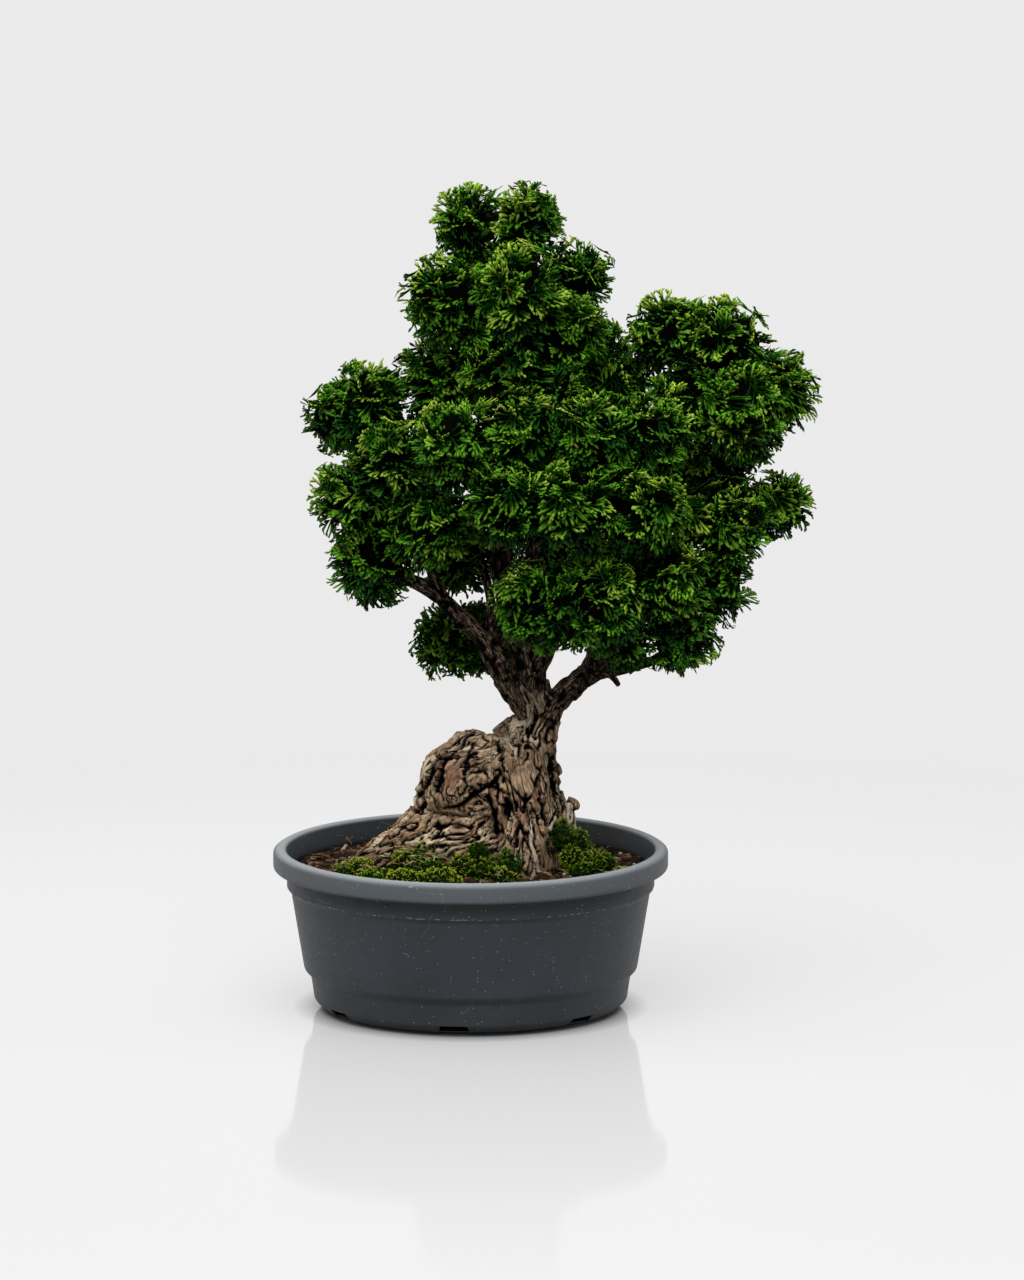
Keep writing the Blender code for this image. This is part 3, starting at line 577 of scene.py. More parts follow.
def remeshed(points, faces, voxel_mm):
    """One closed skin over overlapping closed surfaces: their points in mm, and quads."""
    item = put_mesh("melt", points, faces, "wood", POLYPROPYLENE)
    melt = item.modifiers.new("melt", "REMESH")
    melt.mode = "VOXEL"
    melt.voxel_size = voxel_mm * MM
    bpy.context.view_layer.update()
    mesh = bpy.data.meshes.new_from_object(
        item.evaluated_get(bpy.context.evaluated_depsgraph_get()))
    found = np.zeros(len(mesh.vertices) * 3, np.float32)
    mesh.vertices.foreach_get("co", found)
    corner = np.zeros(len(mesh.loops), np.int32)
    mesh.loops.foreach_get("vertex_index", corner)
    bpy.data.objects.remove(item)
    bpy.data.meshes.remove(mesh)
    return found.reshape(-1, 3).astype(float) / MM, corner.reshape(-1, 4)


def relaxed(points, quads, rounds, keep=0.5):
    """Each point moved part of the way to the mean of its quads' corners, several times."""
    links = np.concatenate([quads[:, [a, b]] for a in range(4) for b in range(4) if a != b])
    degree = np.bincount(links[:, 0], minlength=len(points))[:, None]
    for _ in range(rounds):
        mean = np.stack([np.bincount(links[:, 0], points[links[:, 1], k], len(points))
                         for k in range(3)], -1) / degree
        points = keep * points + (1 - keep) * mean
    return points


def normals_of(points, quads):
    """The unit normal at each point: the sum of its quads' area vectors."""
    area = np.cross(points[quads[:, 2]] - points[quads[:, 0]],
                    points[quads[:, 3]] - points[quads[:, 1]])
    total = np.stack([np.bincount(quads.ravel(), np.repeat(area[:, k], 4), len(points))
                      for k in range(3)], -1)
    return unit(total)


limb_starts = [[(x, y, z, r * min(1, 1.1 - 0.35 * (z - 205) / 30)) for x, y, z, r in limb
                if z <= LIMB_BASES] for limb in LIMBS]
trunk_parts = [closed_tube(trunk_grid())]
trunk_parts += [closed_tube(lump_grid(*lump)) for lump in LUMPS]
trunk_parts += [closed_tube(tube_grid(smooth_route(root, 3), 16)) for root in ROOTS]
trunk_parts += [closed_tube(tube_grid(smooth_route(start, 3), 14))
                for start in limb_starts if len(start) > 1]
skin, skin_quads = remeshed(*joined(trunk_parts), TRUNK_VOXEL)
skin = relaxed(skin, skin_quads, 4)
print("trunk skin:", len(skin), "points")

# %% [markdown]
# Bark is dead, and the wood under it keeps growing, so it splits into flakes that lie
# over one another in layers. A layer's edge is a contour of stretched noise: the height
# climbs in steps, and just below each step is a dark fissure. On the trunk the flakes
# are long and upright, on the burl they bend round its middle, and on the low mass they
# run down to the left. The same noise serves all three, read in three sets of
# coordinates, and the reliefs are blended by how near a point is to each form.

# %% Bark relief on the trunk
BURL, BURL_RADII = np.array([4.0, -8.0, 152.0]), np.array([34, 34, 32])
LAYERS = 4.2
LAYER_MM = 1.75
STEP_MM = 0.8
NUDGE_MM = 0.4
LEAST_SLOPE = 0.06
FISSURE_DROP = 0.9
WARP_MM, RIPPLE_MM = 6.0, 0.8
FISSURE_MM = 1.9


def upright(warped):
    """Long flakes up the trunk."""
    return warped / np.array([7.5, 8.5, 38])


def round_burl(warped):
    """Flakes bent round the burl: its radius, its angle and its depth."""
    arm = warped - BURL
    return np.stack([np.hypot(arm[:, 0], arm[:, 2]) / 8,
                     np.arctan2(arm[:, 0], arm[:, 2]) * 0.75, arm[:, 1] / 14], -1)


def folds(warped):
    """Flakes that run down to the left."""
    slope = math.radians(32)
    along = -warped[:, 0] * math.cos(slope) - warped[:, 2] * math.sin(slope)
    across = -warped[:, 0] * math.sin(slope) + warped[:, 2] * math.cos(slope)
    return np.stack([along / 24, across / 5.5, warped[:, 1] / 10], -1)


def octaves(place, seed):
    """Two octaves of noise, mostly from -1 to 1."""
    return 0.85 * swell(place, 1, seed) + 0.22 * swell(place * 2.7, 1, seed + 1)


def relief(points, pattern, seed):
    """Bark at points in mm, in one pattern: height in layers, fissure mask, flake number.

    The noise is cut into levels. Divided by its gradient, the part of a level that is
    left is a distance in mm, so each step is as steep and each fissure as wide as any.
    """
    scale = LAYERS / 2
    level = (octaves(pattern(points), seed) + 1) * scale
    slopes = [((octaves(pattern(points + nudge), seed) + 1) * scale - level) / NUDGE_MM
              for nudge in NUDGE_MM * np.eye(3)]
    gradient = np.maximum(np.sqrt(sum(slope ** 2 for slope in slopes)), LEAST_SLOPE)
    part = level - np.floor(level)
    ramped = np.clip(part / gradient / STEP_MM, 0, 1)
    mask = np.clip((1 - part) / gradient / FISSURE_MM, 0, 1)
    mask = mask * mask * (3 - 2 * mask)
    number = lattice(np.floor(level)[:, None].astype(np.int64) * np.ones(3, int), seed)
    return np.floor(level) - scale + ramped - FISSURE_DROP * (1 - mask), mask, number


def bark_fields(points):
    """The three patterns blended by how near each point is to the burl and the foot.

    Also gives the place of each point in the pattern that is strongest there, so that a
    material can draw fibres that run with the flakes.
    """
    warp = np.stack([swell(points, 17, k) for k in range(3)], -1)
    ripple = np.stack([swell(points, 5, k) for k in range(3, 6)], -1)
    warped = points + WARP_MM * warp + RIPPLE_MM * ripple
    from_burl = np.linalg.norm((points - BURL) / BURL_RADII, axis=1)
    near_burl = np.clip(1.7 - from_burl, 0, 1)
    low = np.clip((138 - points[:, 2]) / 10, 0, 1) * np.clip((24 - points[:, 0]) / 12, 0, 1)
    near_burl = near_burl * (1 - low) * np.clip((18 - points[:, 0]) / 8, 0, 1)
    weights = np.stack([1 - np.maximum(near_burl, low), near_burl, low], -1)
    weights = (weights / weights.sum(1, keepdims=True))[..., None]
    fields, routes = 0, []
    for k, (pattern, seed) in enumerate(((upright, 11), (round_burl, 23), (folds, 37))):
        fields = fields + weights[:, k] * np.stack(relief(warped, pattern, seed), -1)
        routes.append(pattern(points + 3 * warp))
    strongest = weights[..., 0].argmax(1)
    return fields.T, np.stack(routes)[strongest, np.arange(len(points))]


# %% [markdown]
# Some marks are not random: deep folds part the burl from the trunk and from the low
# mass, and long clefts run down between the ropes of wood on the right. Each is a
# route in x and z on the front of the tree. The skin sinks along it, a lip rises
# beside it, and where old plates have dropped off, the skin stays smooth and pink. The
# trunk is slimmest at its neck, where the limbs part, and leans to the right there.

# %% Folds and fresh patches
FOLDS = [
    ([(-1, 186), (-6, 181), (-11, 176), (-17, 169), (-20, 159), (-23, 149)], 6.0, 1.6),
    ([(-12, 180), (-23, 168), (-27, 157), (-32, 148), (-36, 143)], 4.0, 1.1),
    ([(17, 181), (21, 173), (21, 165), (17, 158), (14, 154)], 5.5, 1.4),
    ([(-17, 138), (-6, 140), (6, 150), (14, 153), (25, 148)], 4.5, 1.4),
    ([(-4, 156), (-2, 171), (8, 173)], 2.5, 0.9),
    ([(46, 162), (42, 152), (37, 143), (35, 136)], 4.0, 1.3),
    ([(53, 170), (54, 156), (58, 144), (64, 139)], 3.5, 1.2),
    ([(11, 147), (16, 134), (18, 120)], 3.5, 1.2),
    ([(23, 145), (29, 134), (35, 124), (39, 111)], 4.0, 1.2),
    ([(29, 142), (31, 130), (29, 116)], 3.0, 1.0),
    ([(44, 142), (46, 130), (52, 118)], 3.0, 1.1),
    ([(-22, 127), (-10, 129), (2, 126)], 3.0, 1.0),
    ([(-24, 120), (-8, 122), (6, 119)], 3.0, 1.0),
    ([(-27, 113), (-10, 115), (6, 112)], 3.0, 1.0),
    ([(-28, 140), (-38, 131), (-50, 122)], 3.0, 1.0),
    ([(40, 196), (36, 186), (37, 176)], 2.5, 1.0),
]
FRESH = [((-12, 160), (7, 11)), ((42, 147), (3, 9)), ((34, 130), (3.5, 8))]
SMOOTH = [((12, 171), (8, 8)), ((33, 160), (11, 11)), ((22, 184), (7, 7))]
FRONT = 12.0


def fold_field(points):
    """Depth of the folds: -depth * exp(-(d / width)^2), with a lip 2.6 widths to the side."""
    flat = points[:, [0, 2]]
    sunk = np.zeros(len(points))
    dark = np.zeros(len(points))
    front = np.clip((FRONT - points[:, 1]) / 8, 0, 1)
    wobble = 1.3 * swell(points, 6.0, 9) + 0.6 * swell(points, 2.7, 10)
    for route, depth, width in FOLDS:
        corners = np.array([(x, 0, z, 0) for x, z in route], float)
        line = smooth_route(corners, 1.2)[:, [0, 2]]
        distance = np.abs(np.linalg.norm(flat[:, None] - line[None], axis=-1).min(1) + wobble)
        cleft = np.exp(-(distance / width) ** 2)
        lip = np.exp(-((distance - 2.4 * width) / (1.1 * width)) ** 2)
        sunk = np.minimum(sunk, 0) - depth * cleft * front + 0.2 * depth * lip * front
        # Painted shade: the cleft is also kept as a mask that paints it dark.
        dark = np.maximum(dark, cleft * front)
    return sunk, dark


def patches(points, rows):
    """Near 1 in the front patches at the given places (x, z) and sizes, 0 elsewhere."""
    total = np.zeros(len(points))
    for (x, z), (wide, tall) in rows:
        away = np.hypot((points[:, 0] - x) / wide, (points[:, 2] - z) / tall)
        total = np.maximum(total, np.clip(2.2 - 2 * away, 0, 1))
    return total * (points[:, 1] < 0)


NECK_HEIGHT, NECK_SPREAD, NECK_PINCH, NECK_SHIFT = 197.0, 17.0, 3.0, 4.0


def neck(height):
    """1 at the neck of the trunk, where it is slimmest, and 0 above and below it."""
    return np.exp(-((height - NECK_HEIGHT) / NECK_SPREAD) ** 2)


normal = normals_of(skin, skin_quads)
(height, crack, number), grainwise = bark_fields(skin)
sunk, dark = fold_field(skin)
fresh, smooth = patches(skin, FRESH), patches(skin, SMOOTH)
coarse = 2.0 * swell(skin, 24, 5) + 0.8 * swell(skin, 9, 6)
calm = np.clip((225 - skin[:, 2]) / 40, 0.35, 1)
flat = np.maximum(0.85 * fresh, 0.7 * smooth)
lift = (height * LAYER_MM * (1 - flat) - 0.5 + coarse) * calm + sunk - NECK_PINCH * neck(skin[:, 2])
raised = skin + normal * lift[:, None]
raised[:, 0] += NECK_SHIFT * neck(skin[:, 2])
# The fold clefts lower this number, so they are painted as dark as the fissures: painted shade in the
# folds.
crack = np.maximum(crack, 0.95 * np.maximum(fresh, smooth)) * (1 - dark)
print("trunk points:", len(raised))


def limb_share(height):
    """0 on the trunk, 1 on the limbs, from the height in mm."""
    return np.clip((height - 182) / 36, 0, 1)


# %% [markdown]
# Bark of hinoki cypress is red brown when fresh and weathers to grey. So the faces of
# the plates are grey brown, the cracks are nearly black, partly their own dark colour and
# partly painted shade under the flakes' edges, and some plates have fallen and show the
# pinkish inner bark. Fine fibres run along the plates and thin rifts part them. Every
# hollow is painted nearly black as painted shade, and the bark is darker towards the
# soil. Bark is dry and dull, so it has no gloss to speak of.

# %% Bark material
def bark():
    material, add = start("flaky grey brown bark")
    plate, fresh, on_limb, crack = [add("Attribute", attribute_name=name, output="Fac")
                                    for name in ("plate", "fresh", "limb", "crack")]
    along = add("Attribute", attribute_name="grainwise", output="Vector")
    fibre = add("TexNoise", Vector=along, Scale=5.0, Detail=5.0)
    flake = add("TexNoise", Vector=along, Scale=1.15, Detail=2.0, Distortion=0.8)
    off_line = add("Math", add("Math", flake, 0.5, operation="SUBTRACT"), operation="ABSOLUTE")
    shell = add("Math", add("MapRange", off_line, 0.006, 0.022),
                add("Math", fresh, 0.8, operation="MULTIPLY"), operation="MAXIMUM")
    threads = add("ValToRGB", fibre, stops=[(0.3, "#16100b"), (0.6, "#e6d8c6")])
    strips = add("ValToRGB", fibre, stops=[(0.34, "#0d0906"), (0.5, "#4d3e32"),
                                           (0.63, "#c4ac92")])
    height = add("SeparateXYZ", add("TexCoord", output="Object"), output="Z")
    # Darker towards the soil, from 118 mm down to 92 mm.
    darker_near_soil = add("MapRange", height, 0.118, 0.092, To_Max=0.65)
    # Painted shade: concave places, by the mesh's pointiness, are painted nearly black.
    painted_hollow_shade = add("MapRange", add("NewGeometry", output="Pointiness"), 0.5, 0.45, To_Max=0.92)

    flat = add("ValToRGB", plate, stops=[(0.0, "#806a56"), (0.3, "#e2cfb8"), (0.6, "#a08a73"),
                                         (0.9, "#efdfcb")])
    flat = add("MixRGB", add("Math", fresh, 0.7, operation="MULTIPLY"), flat, "#967263")
    flat = add("MixRGB", 0.8, flat, threads, blend_type="OVERLAY")
    blotch = add("MapRange", grain(add, 11, 4), 0.5, 0.66, To_Max=0.6)
    for mask, colour in ((blotch, "#5f4c3c"), (on_limb, strips), (darker_near_soil, "#2c2119")):
        flat = add("MixRGB", mask, flat, colour)
    flat = add("MixRGB", shell, "#130d0a", flat)
    flat = add("MixRGB", painted_hollow_shade, flat, "#0f0a07")
    ridges = add("Math", fibre, add("Math", shell, 0.6, operation="MULTIPLY"), operation="ADD")
    return finished(
        material, Roughness=0.85, IOR=1.45, Specular_IOR_Level=0.04,
        # Partly painted shade: the fissure below each step is drawn nearly black, both the bark's dark
        # crack and the shadow under the flake's edge.
        Base_Color=add("MixRGB", add("MapRange", crack, 0.3, 0.95), "#050302", flat),
        Normal=add("Bump", Height=ridges, Strength=0.9, Distance=1.2 * MM))


BARK = bark()
trunk = put_mesh("trunk", raised, [skin_quads], "wood", BARK, crack=crack, plate=number,
                 fresh=fresh, limb=limb_share(skin[:, 2]), grainwise=grainwise)
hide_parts("tree_wood")

# %% [markdown]
# A limb is a tube along its route. Its radius swells and pinches a little, and its bark
# is the same layered noise, read round the limb and along it, so that the strips follow
# it wherever it bends.

# %% Limbs
LIMB_RELIEF, KNOTS = 0.085, 0.1
LIMB_SIDES, LIMB_STEP = 16, 1.7


def limb_flakes(place):
    """Narrow strips along a limb."""
    return place / np.array([4, 4, 22])


def limb(corners, seed):
    """A tube whose radius is r * (1 + relief * bark + knots), with its bark's numbers.

    Inside the trunk's skin it is a quarter thinner, so that it comes out of it slowly.
    """
    route = smooth_route(corners, LIMB_STEP)
    angle = np.linspace(0, 2 * np.pi, LIMB_SIDES, endpoint=False)
    run = np.concatenate([[0], np.cumsum(np.linalg.norm(np.diff(route[:, :3], axis=0), axis=1))])
    radius = route[:, 3:]
    place = np.stack([radius * np.cos(angle), radius * np.sin(angle),
                      run[:, None] + 0 * angle], -1).reshape(-1, 3)
    height, crack, number = relief(place, limb_flakes, seed)
    knots = swell(place, 9, seed + 3)
    emerge = np.clip((route[:, 2] - 207) / 20, 0, 1)[:, None] * 0.25 + 0.75
    scale = (1 + LIMB_RELIEF * height + KNOTS * knots).reshape(len(route), LIMB_SIDES) * emerge
    points, faces = closed_tube(tube_grid(route, LIMB_SIDES, scale))
    numbers = np.concatenate([np.stack([crack, number], -1), np.ones((2, 2))])
    grainwise = np.concatenate([limb_flakes(place) + seed, np.zeros((2, 3))])
    return points, faces, numbers, grainwise


made = [limb(corners, 50 + 5 * k) for k, corners in enumerate(LIMBS)]
limb_points, limb_faces = joined([(points, faces) for points, faces, _, _ in made])
limb_numbers = np.concatenate([numbers for _, _, numbers, _ in made])
limbs = put_mesh("limbs", limb_points, limb_faces, "wood", BARK,
                 crack=limb_numbers[:, 0], plate=limb_numbers[:, 1],
                 fresh=np.zeros(len(limb_points)), limb=np.ones(len(limb_points)),
                 grainwise=np.concatenate([grainwise for _, _, _, grainwise in made]))
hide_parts("tree_wood")

# %% [markdown]
# Foliage of hinoki cypress is a flat fan of blunt green fingers, each about 2 mm wide,
# made of scale leaves pressed to the stem. The fans are cupped like shells and lie in
# tiers over rounded heads. The smallest shape here is one finger: a closed spindle, flat
# below and ridged above. A spray is a fan of them on one plan, and a head is some dozens
# of sprays set round its middle. All sprays of a group are worked out at once.

# %% Heads of foliage, x y z and radius in mm
HEADS = {
    "apex": [(-1, 8, 519, 24), (35, -4, 520, 25.5), (69, 10, 484, 23), (-15, -8, 471, 30),
             (32, -30, 476, 33), (60, -12, 450, 29), (-17, 15, 413, 32.5), (23, -35, 431, 30),
             (75, 27, 429, 28), (13, 42, 464, 36), (46, 50, 423, 36), (100, 12, 411, 22)],
    "left": [(-65, 15, 401, 27), (-88, 5, 391, 21), (-48, -30, 368, 27), (-77, -20, 342, 26.5),
             (-64, -15, 301, 30), (-25, -40, 328, 29), (-56, 35, 339, 34)],
    "front": [(-9, -58, 383, 29), (32, -65, 394, 29), (52, -30, 411, 24), (80, -70, 390, 29),
              (118, -55, 387, 28), (23, -80, 348, 28), (67, -88, 345, 30), (111, -72, 342, 30)],
    "right": [(130, 8, 446, 27), (166, -2, 441, 30), (202, 8, 409, 27), (175, -30, 400, 31),
              (182, 12, 377, 21), (141, -10, 403, 26), (167, 45, 407, 32)],
    "outer": [(202, 5, 334, 22), (167, -25, 325, 30), (151, 40, 338, 32), (164, -10, 362, 23)],
    "low": [(46, -74, 281, 30), (81, -80, 282, 31), (126, -62, 295, 30), (159, -25, 287, 27),
            (137, -45, 257, 26), (101, -62, 257, 20)],
    "under": [(-14, 50, 236, 25), (13, 62, 236, 25)],
    "back": [(32, 60, 348, 36), (78, 75, 345, 36), (121, 70, 346, 34), (59, 70, 293, 32),
             (105, 55, 282, 32), (-10, 58, 298, 32)],
}
ALL_HEADS = np.array([head for group in HEADS.values() for head in group], float)
GROUP_OF_HEAD = np.repeat(np.arange(len(HEADS)), [len(group) for group in HEADS.values()])


# %% Plan of one spray
def spray_plan(pairs, lobes, lobe_length):
    """Fingers as rows of (parent, place on it, turn from it, length), and the number of shoots.

    Row 0 is the midrib. Side shoots leave it left and right in turn, shorter and steeper
    towards the tip, so that their ends lie on a fan. Lobes then leave every shoot near
    its end. Places and lengths are shares, of the parent and of the whole spray.
    """
    rows = [(0, 0.0, 0.0, 1.0)]
    for k in range(2 * pairs):
        share = k / (2 * pairs)
        rows.append((0, 0.06 + 0.52 * share, (-1) ** k * math.radians(56 - 30 * share),
                     0.8 - 0.36 * share))
    shoots = len(rows)
    for parent in range(shoots):
        for k in range(lobes):
            rows.append((parent, 0.74 - 0.24 * k, (-1) ** (k + parent) * math.radians(33),
                         lobe_length * (1 + 0.1 * k)))
    return np.array(rows), shoots


FAN_PLAN = spray_plan(3, 2, 0.29)
FINGER_WIDTH = 1.1
SHOOT_SHAPE = np.array([(0, 0, 0), (0.35, -0.8, 0), (0.35, 0, 0.6), (0.35, 0.8, 0),
                        (0.9, -1, 0), (0.9, 0, 0.85), (0.9, 1, 0), (1, 0, 0.2)])
SHOOT_FACES = np.array([
    (0, 1, 2), (0, 2, 3), (0, 3, 1),
    (1, 5, 2), (1, 4, 5), (2, 6, 3), (2, 5, 6), (3, 4, 1), (3, 6, 4),
    (4, 7, 5), (5, 7, 6), (6, 7, 4)])
LOBE_SHAPE = np.array([(0, 0, 0), (0.75, -1, 0), (0.7, 0, 0.85), (0.75, 1, 0), (1, 0, 0.2)])
LOBE_FACES = np.array([(0, 1, 2), (0, 2, 3), (0, 3, 1), (1, 4, 2), (2, 4, 3), (3, 4, 1)])
print("fingers in a spray:", len(FAN_PLAN[0]))


# %% [markdown]
# Each spray has its own frame: a root, an axis that it grows along, a face that it
# turns to the light, and a length. Its fingers are laid out flat on the plan, each from
# a place on its own jittered parent, so that they stay joined. Then the fan is bent: its
# wings rise with the square of their distance from the midrib, which makes the shell,
# and its tip nods up or down with the square of its distance out.

# %% Growing sprays
def laid_out(plan, length, rng):
    """Size, angle, bend, rise and start (u, v, n) of each finger of each spray."""
    shape = (len(length), len(plan))
    size = length[:, None] * plan[:, 3] * rng.uniform(0.82, 1.18, shape)
    angle = plan[:, 2] + rng.normal(0, 0.09, shape)
    bend = rng.normal(0, 0.02, shape)
    rise = rng.normal(0, 0.06, shape)
    start = np.zeros((*shape, 3))
    for k in range(1, len(plan)):
        parent = int(plan[k, 0])
        run = plan[k, 1] * size[:, parent]
        turn = angle[:, parent] + bend[:, parent] * run
        along = np.stack([np.cos(turn), np.sin(turn), rise[:, parent]], -1)
        start[:, k] = start[:, parent] + run[:, None] * along
        angle[:, k] += turn
        rise[:, k] += rise[:, parent]
    return size, angle, bend, rise, start


def grow_sprays(root, axis, face, length, tone, nod, rng, plan, width=FINGER_WIDTH):
    """Points, faces and attributes of all sprays, worked out as whole arrays."""
    plan, shoots = plan
    axis = unit(axis)
    face = unit(face - (face * axis).sum(1, keepdims=True) * axis)
    side = np.cross(face, axis)
    fingers = laid_out(plan, length, rng)
    scale = length[:, None, None]
    cup = rng.normal(0.28, 0.2, scale.shape)
    nod = nod[:, None, None] + rng.normal(0, 0.12, scale.shape)
    pieces, tips, tones = [], [], []
    for chosen, shape, shape_faces in ((slice(0, shoots), SHOOT_SHAPE, SHOOT_FACES),
                                       (slice(shoots, None), LOBE_SHAPE, LOBE_FACES)):
        size, angle, bend, rise, start = [array[:, chosen, None] for array in fingers]
        run = size * shape[:, 0]
        thick = width * rng.uniform(0.85, 1.15, size.shape)
        turn = angle + bend * run
        u = start[..., 0] + run * np.cos(turn) - thick * shape[:, 1] * np.sin(turn)
        v = start[..., 1] + run * np.sin(turn) + thick * shape[:, 1] * np.cos(turn)
        n = (start[..., 2] + rise * run + thick * shape[:, 2]
             + (cup * v * v + nod * u * np.abs(u)) / scale)
        where = (root[:, None, None] + u[..., None] * axis[:, None, None]
                 + v[..., None] * side[:, None, None] + n[..., None] * face[:, None, None])
        first = np.arange(run.shape[0] * run.shape[1])[:, None, None] * len(shape)
        pieces.append((where.reshape(-1, 3), [(first + shape_faces).reshape(-1, 3)]))
        outwards = np.clip(np.hypot(u, v) / scale, 0, 1)
        tips.append((outwards * (0.35 + 0.65 * shape[:, 0])).ravel())
        tones.append(np.broadcast_to(tone[:, None, None], run.shape).ravel())
    points, faces = joined(pieces)
    return points, np.concatenate(faces), np.concatenate(tips), np.concatenate(tones)


def spray_of_point(count, plan):
    """The number of the spray that each point of grow_sprays belongs to."""
    plan, shoots = plan
    shares = (shoots * len(SHOOT_SHAPE), (len(plan) - shoots) * len(LOBE_SHAPE))
    return np.concatenate([np.repeat(np.arange(count), share) for share in shares])


def directions(count, rng):
    """Count unit vectors spread evenly over the sphere by the golden angle, then jittered."""
    k = np.arange(count) + 0.5
    z = 1 - 2 * k / count
    turn = k * math.pi * (3 - math.sqrt(5)) + rng.uniform(0, 2 * math.pi)
    flat = np.sqrt(1 - z * z)
    even = np.stack([flat * np.cos(turn), flat * np.sin(turn), z], -1)
    return unit(even + rng.normal(0, 0.12, even.shape))


# %% Sprays of one head
SPRAYS_PER_HEAD, USUAL_RADIUS = 82, 30
SPRAY_LENGTH = 20.5
REACH = 0.97
TIER, TIER_PULL = 0.36, 0.45
BURIED, VALLEY = 0.86, 1.4
CROWD_START, CROWD_SPAN, CROWD_SHADE = 1.4, 0.5, 0.34
ROOT_SHARE, VALLEY_PUSH, LOW_TUCK = 0.86, 0.07, 0.06
LOOSE_AXIS, LOOSE_FACE = 0.38, 0.5
DEEP_FANS = 0.3
UP = np.array([0.0, 0.0, 1.0])


def nearest_other(points, own, others):
    """Distance from the nearest of other heads, in its radii, and the direction away from it."""
    others = np.flatnonzero(others & (np.arange(len(ALL_HEADS)) != own))
    away = points[:, None] - ALL_HEADS[None, others, :3]
    gap = np.linalg.norm(away, axis=-1) / ALL_HEADS[others, 3]
    nearest = gap.argmin(1)
    row = np.arange(len(points))
    return gap[row, nearest], unit(away[row, nearest])


def head_sprays(own, rng):
    """Root, axis, face, length, tone and nod of the sprays of one head that could be seen.

    Directions are drawn towards a few tiers. On top of a head every other fan stands up
    and faces outwards, between fans that lie flat and head any way. On its sides every
    other one hangs like a shingle, between fans with nodding rims. Below they hang
    outwards. In the valley between two heads they stand out further, away from both, so
    that the heads run together. The tone carries painted light and shade: fans high on a
    head are painted lighter, and deep fans and fans that crowd against another head are
    painted darker.
    """
    centre, radius = ALL_HEADS[own, :3], ALL_HEADS[own, 3]
    out = directions(int(SPRAYS_PER_HEAD * (radius / USUAL_RADIUS) ** 2), rng)
    shift = rng.uniform()
    tier = (np.floor(out[:, 2] / TIER + shift) + 0.5 - shift) * TIER
    out[:, 2] += TIER_PULL * (tier - out[:, 2])
    out = unit(out)
    gap, _ = nearest_other(centre + radius * out, own, GROUP_OF_HEAD >= 0)
    seen = gap > BURIED
    every_other = (np.arange(len(out)) % 2 == 0)[seen, None]
    out, gap = out[seen], gap[seen]
    count = len(out)
    crowded = np.clip((CROWD_START - gap) / CROWD_SPAN, 0, 1)
    near, away = nearest_other(centre + radius * out, own, GROUP_OF_HEAD == GROUP_OF_HEAD[own])
    valley = np.clip((VALLEY - near) / (VALLEY - 1), 0, 1)[:, None]
    turned_out = unit(out + 0.5 * valley * away)
    high = np.clip((turned_out[:, 2:3] - 0.25) / 0.45, 0, 1)
    low = np.clip((-0.25 - turned_out[:, 2:3]) / 0.5, 0, 1)
    level = unit(turned_out * np.array([1, 1, 0.2]))
    axis = ((1 - high) * level + (0.7 * high + 0.3) * turned_out
            + (0.22 + 0.4 * high - 0.55 * low) * UP)
    face = UP * (1 - 0.6 * high) + level * (0.7 + 0.3 * high + 0.3 * low)
    hang = every_other & (high < 0.6)
    flat = every_other & (high >= 0.6)
    sideways = np.cross(UP, level) * rng.uniform(-0.8, 0.8, (count, 1))
    axis = np.where(hang, 0.5 * level + sideways - rng.uniform(0, 0.7, (count, 1)) * UP, axis)
    face = np.where(hang, level + 0.6 * UP, face)
    heading = unit(rng.normal(0, 1, (count, 3)) * np.array([1, 1, 0]) + 0.4 * level)
    axis = np.where(flat, heading + 0.4 * UP, axis)
    face = np.where(flat, UP + 0.3 * heading, face)
    axis = unit(axis + rng.uniform(-LOOSE_AXIS, LOOSE_AXIS, (count, 3)))
    face = face + rng.uniform(-LOOSE_FACE, LOOSE_FACE, (count, 3))
    length = SPRAY_LENGTH * rng.uniform(0.75, 1.2, count)
    deep = rng.uniform(size=count) < DEEP_FANS
    share = np.where(deep, rng.uniform(0.7, 0.88, count), rng.uniform(0.92, 1.06, count))
    reach = radius * REACH * share[:, None] * (1 - LOW_TUCK * low)
    root = (centre + out * reach + VALLEY_PUSH * radius * valley * turned_out
            - ROOT_SHARE * length[:, None] * axis)
    nod = 0.1 * high[:, 0] - 0.36 * (1 - high[:, 0])
    # Painted light and shade: fans higher on the head are painted lighter, deeper fans and crowded fans
    # darker; the random term is the leaves' own variation.
    tone = (0.63 + 0.26 * out[:, 2] + 1.6 * (share - 0.98) - CROWD_SHADE * crowded
            + rng.normal(0, 0.14, count))
    return root, axis, face, length, tone, nod, np.full(count, own)


# %% [markdown]
# Scale leaves have a thin waxy skin, so they shine a little, and light passes through
# them. New growth at the tips is yellow green, older leaves further in are deep green
# with a touch of blue, and the insides of the sprays go nearly black as painted shade.
# Here and there a tip has turned orange brown.

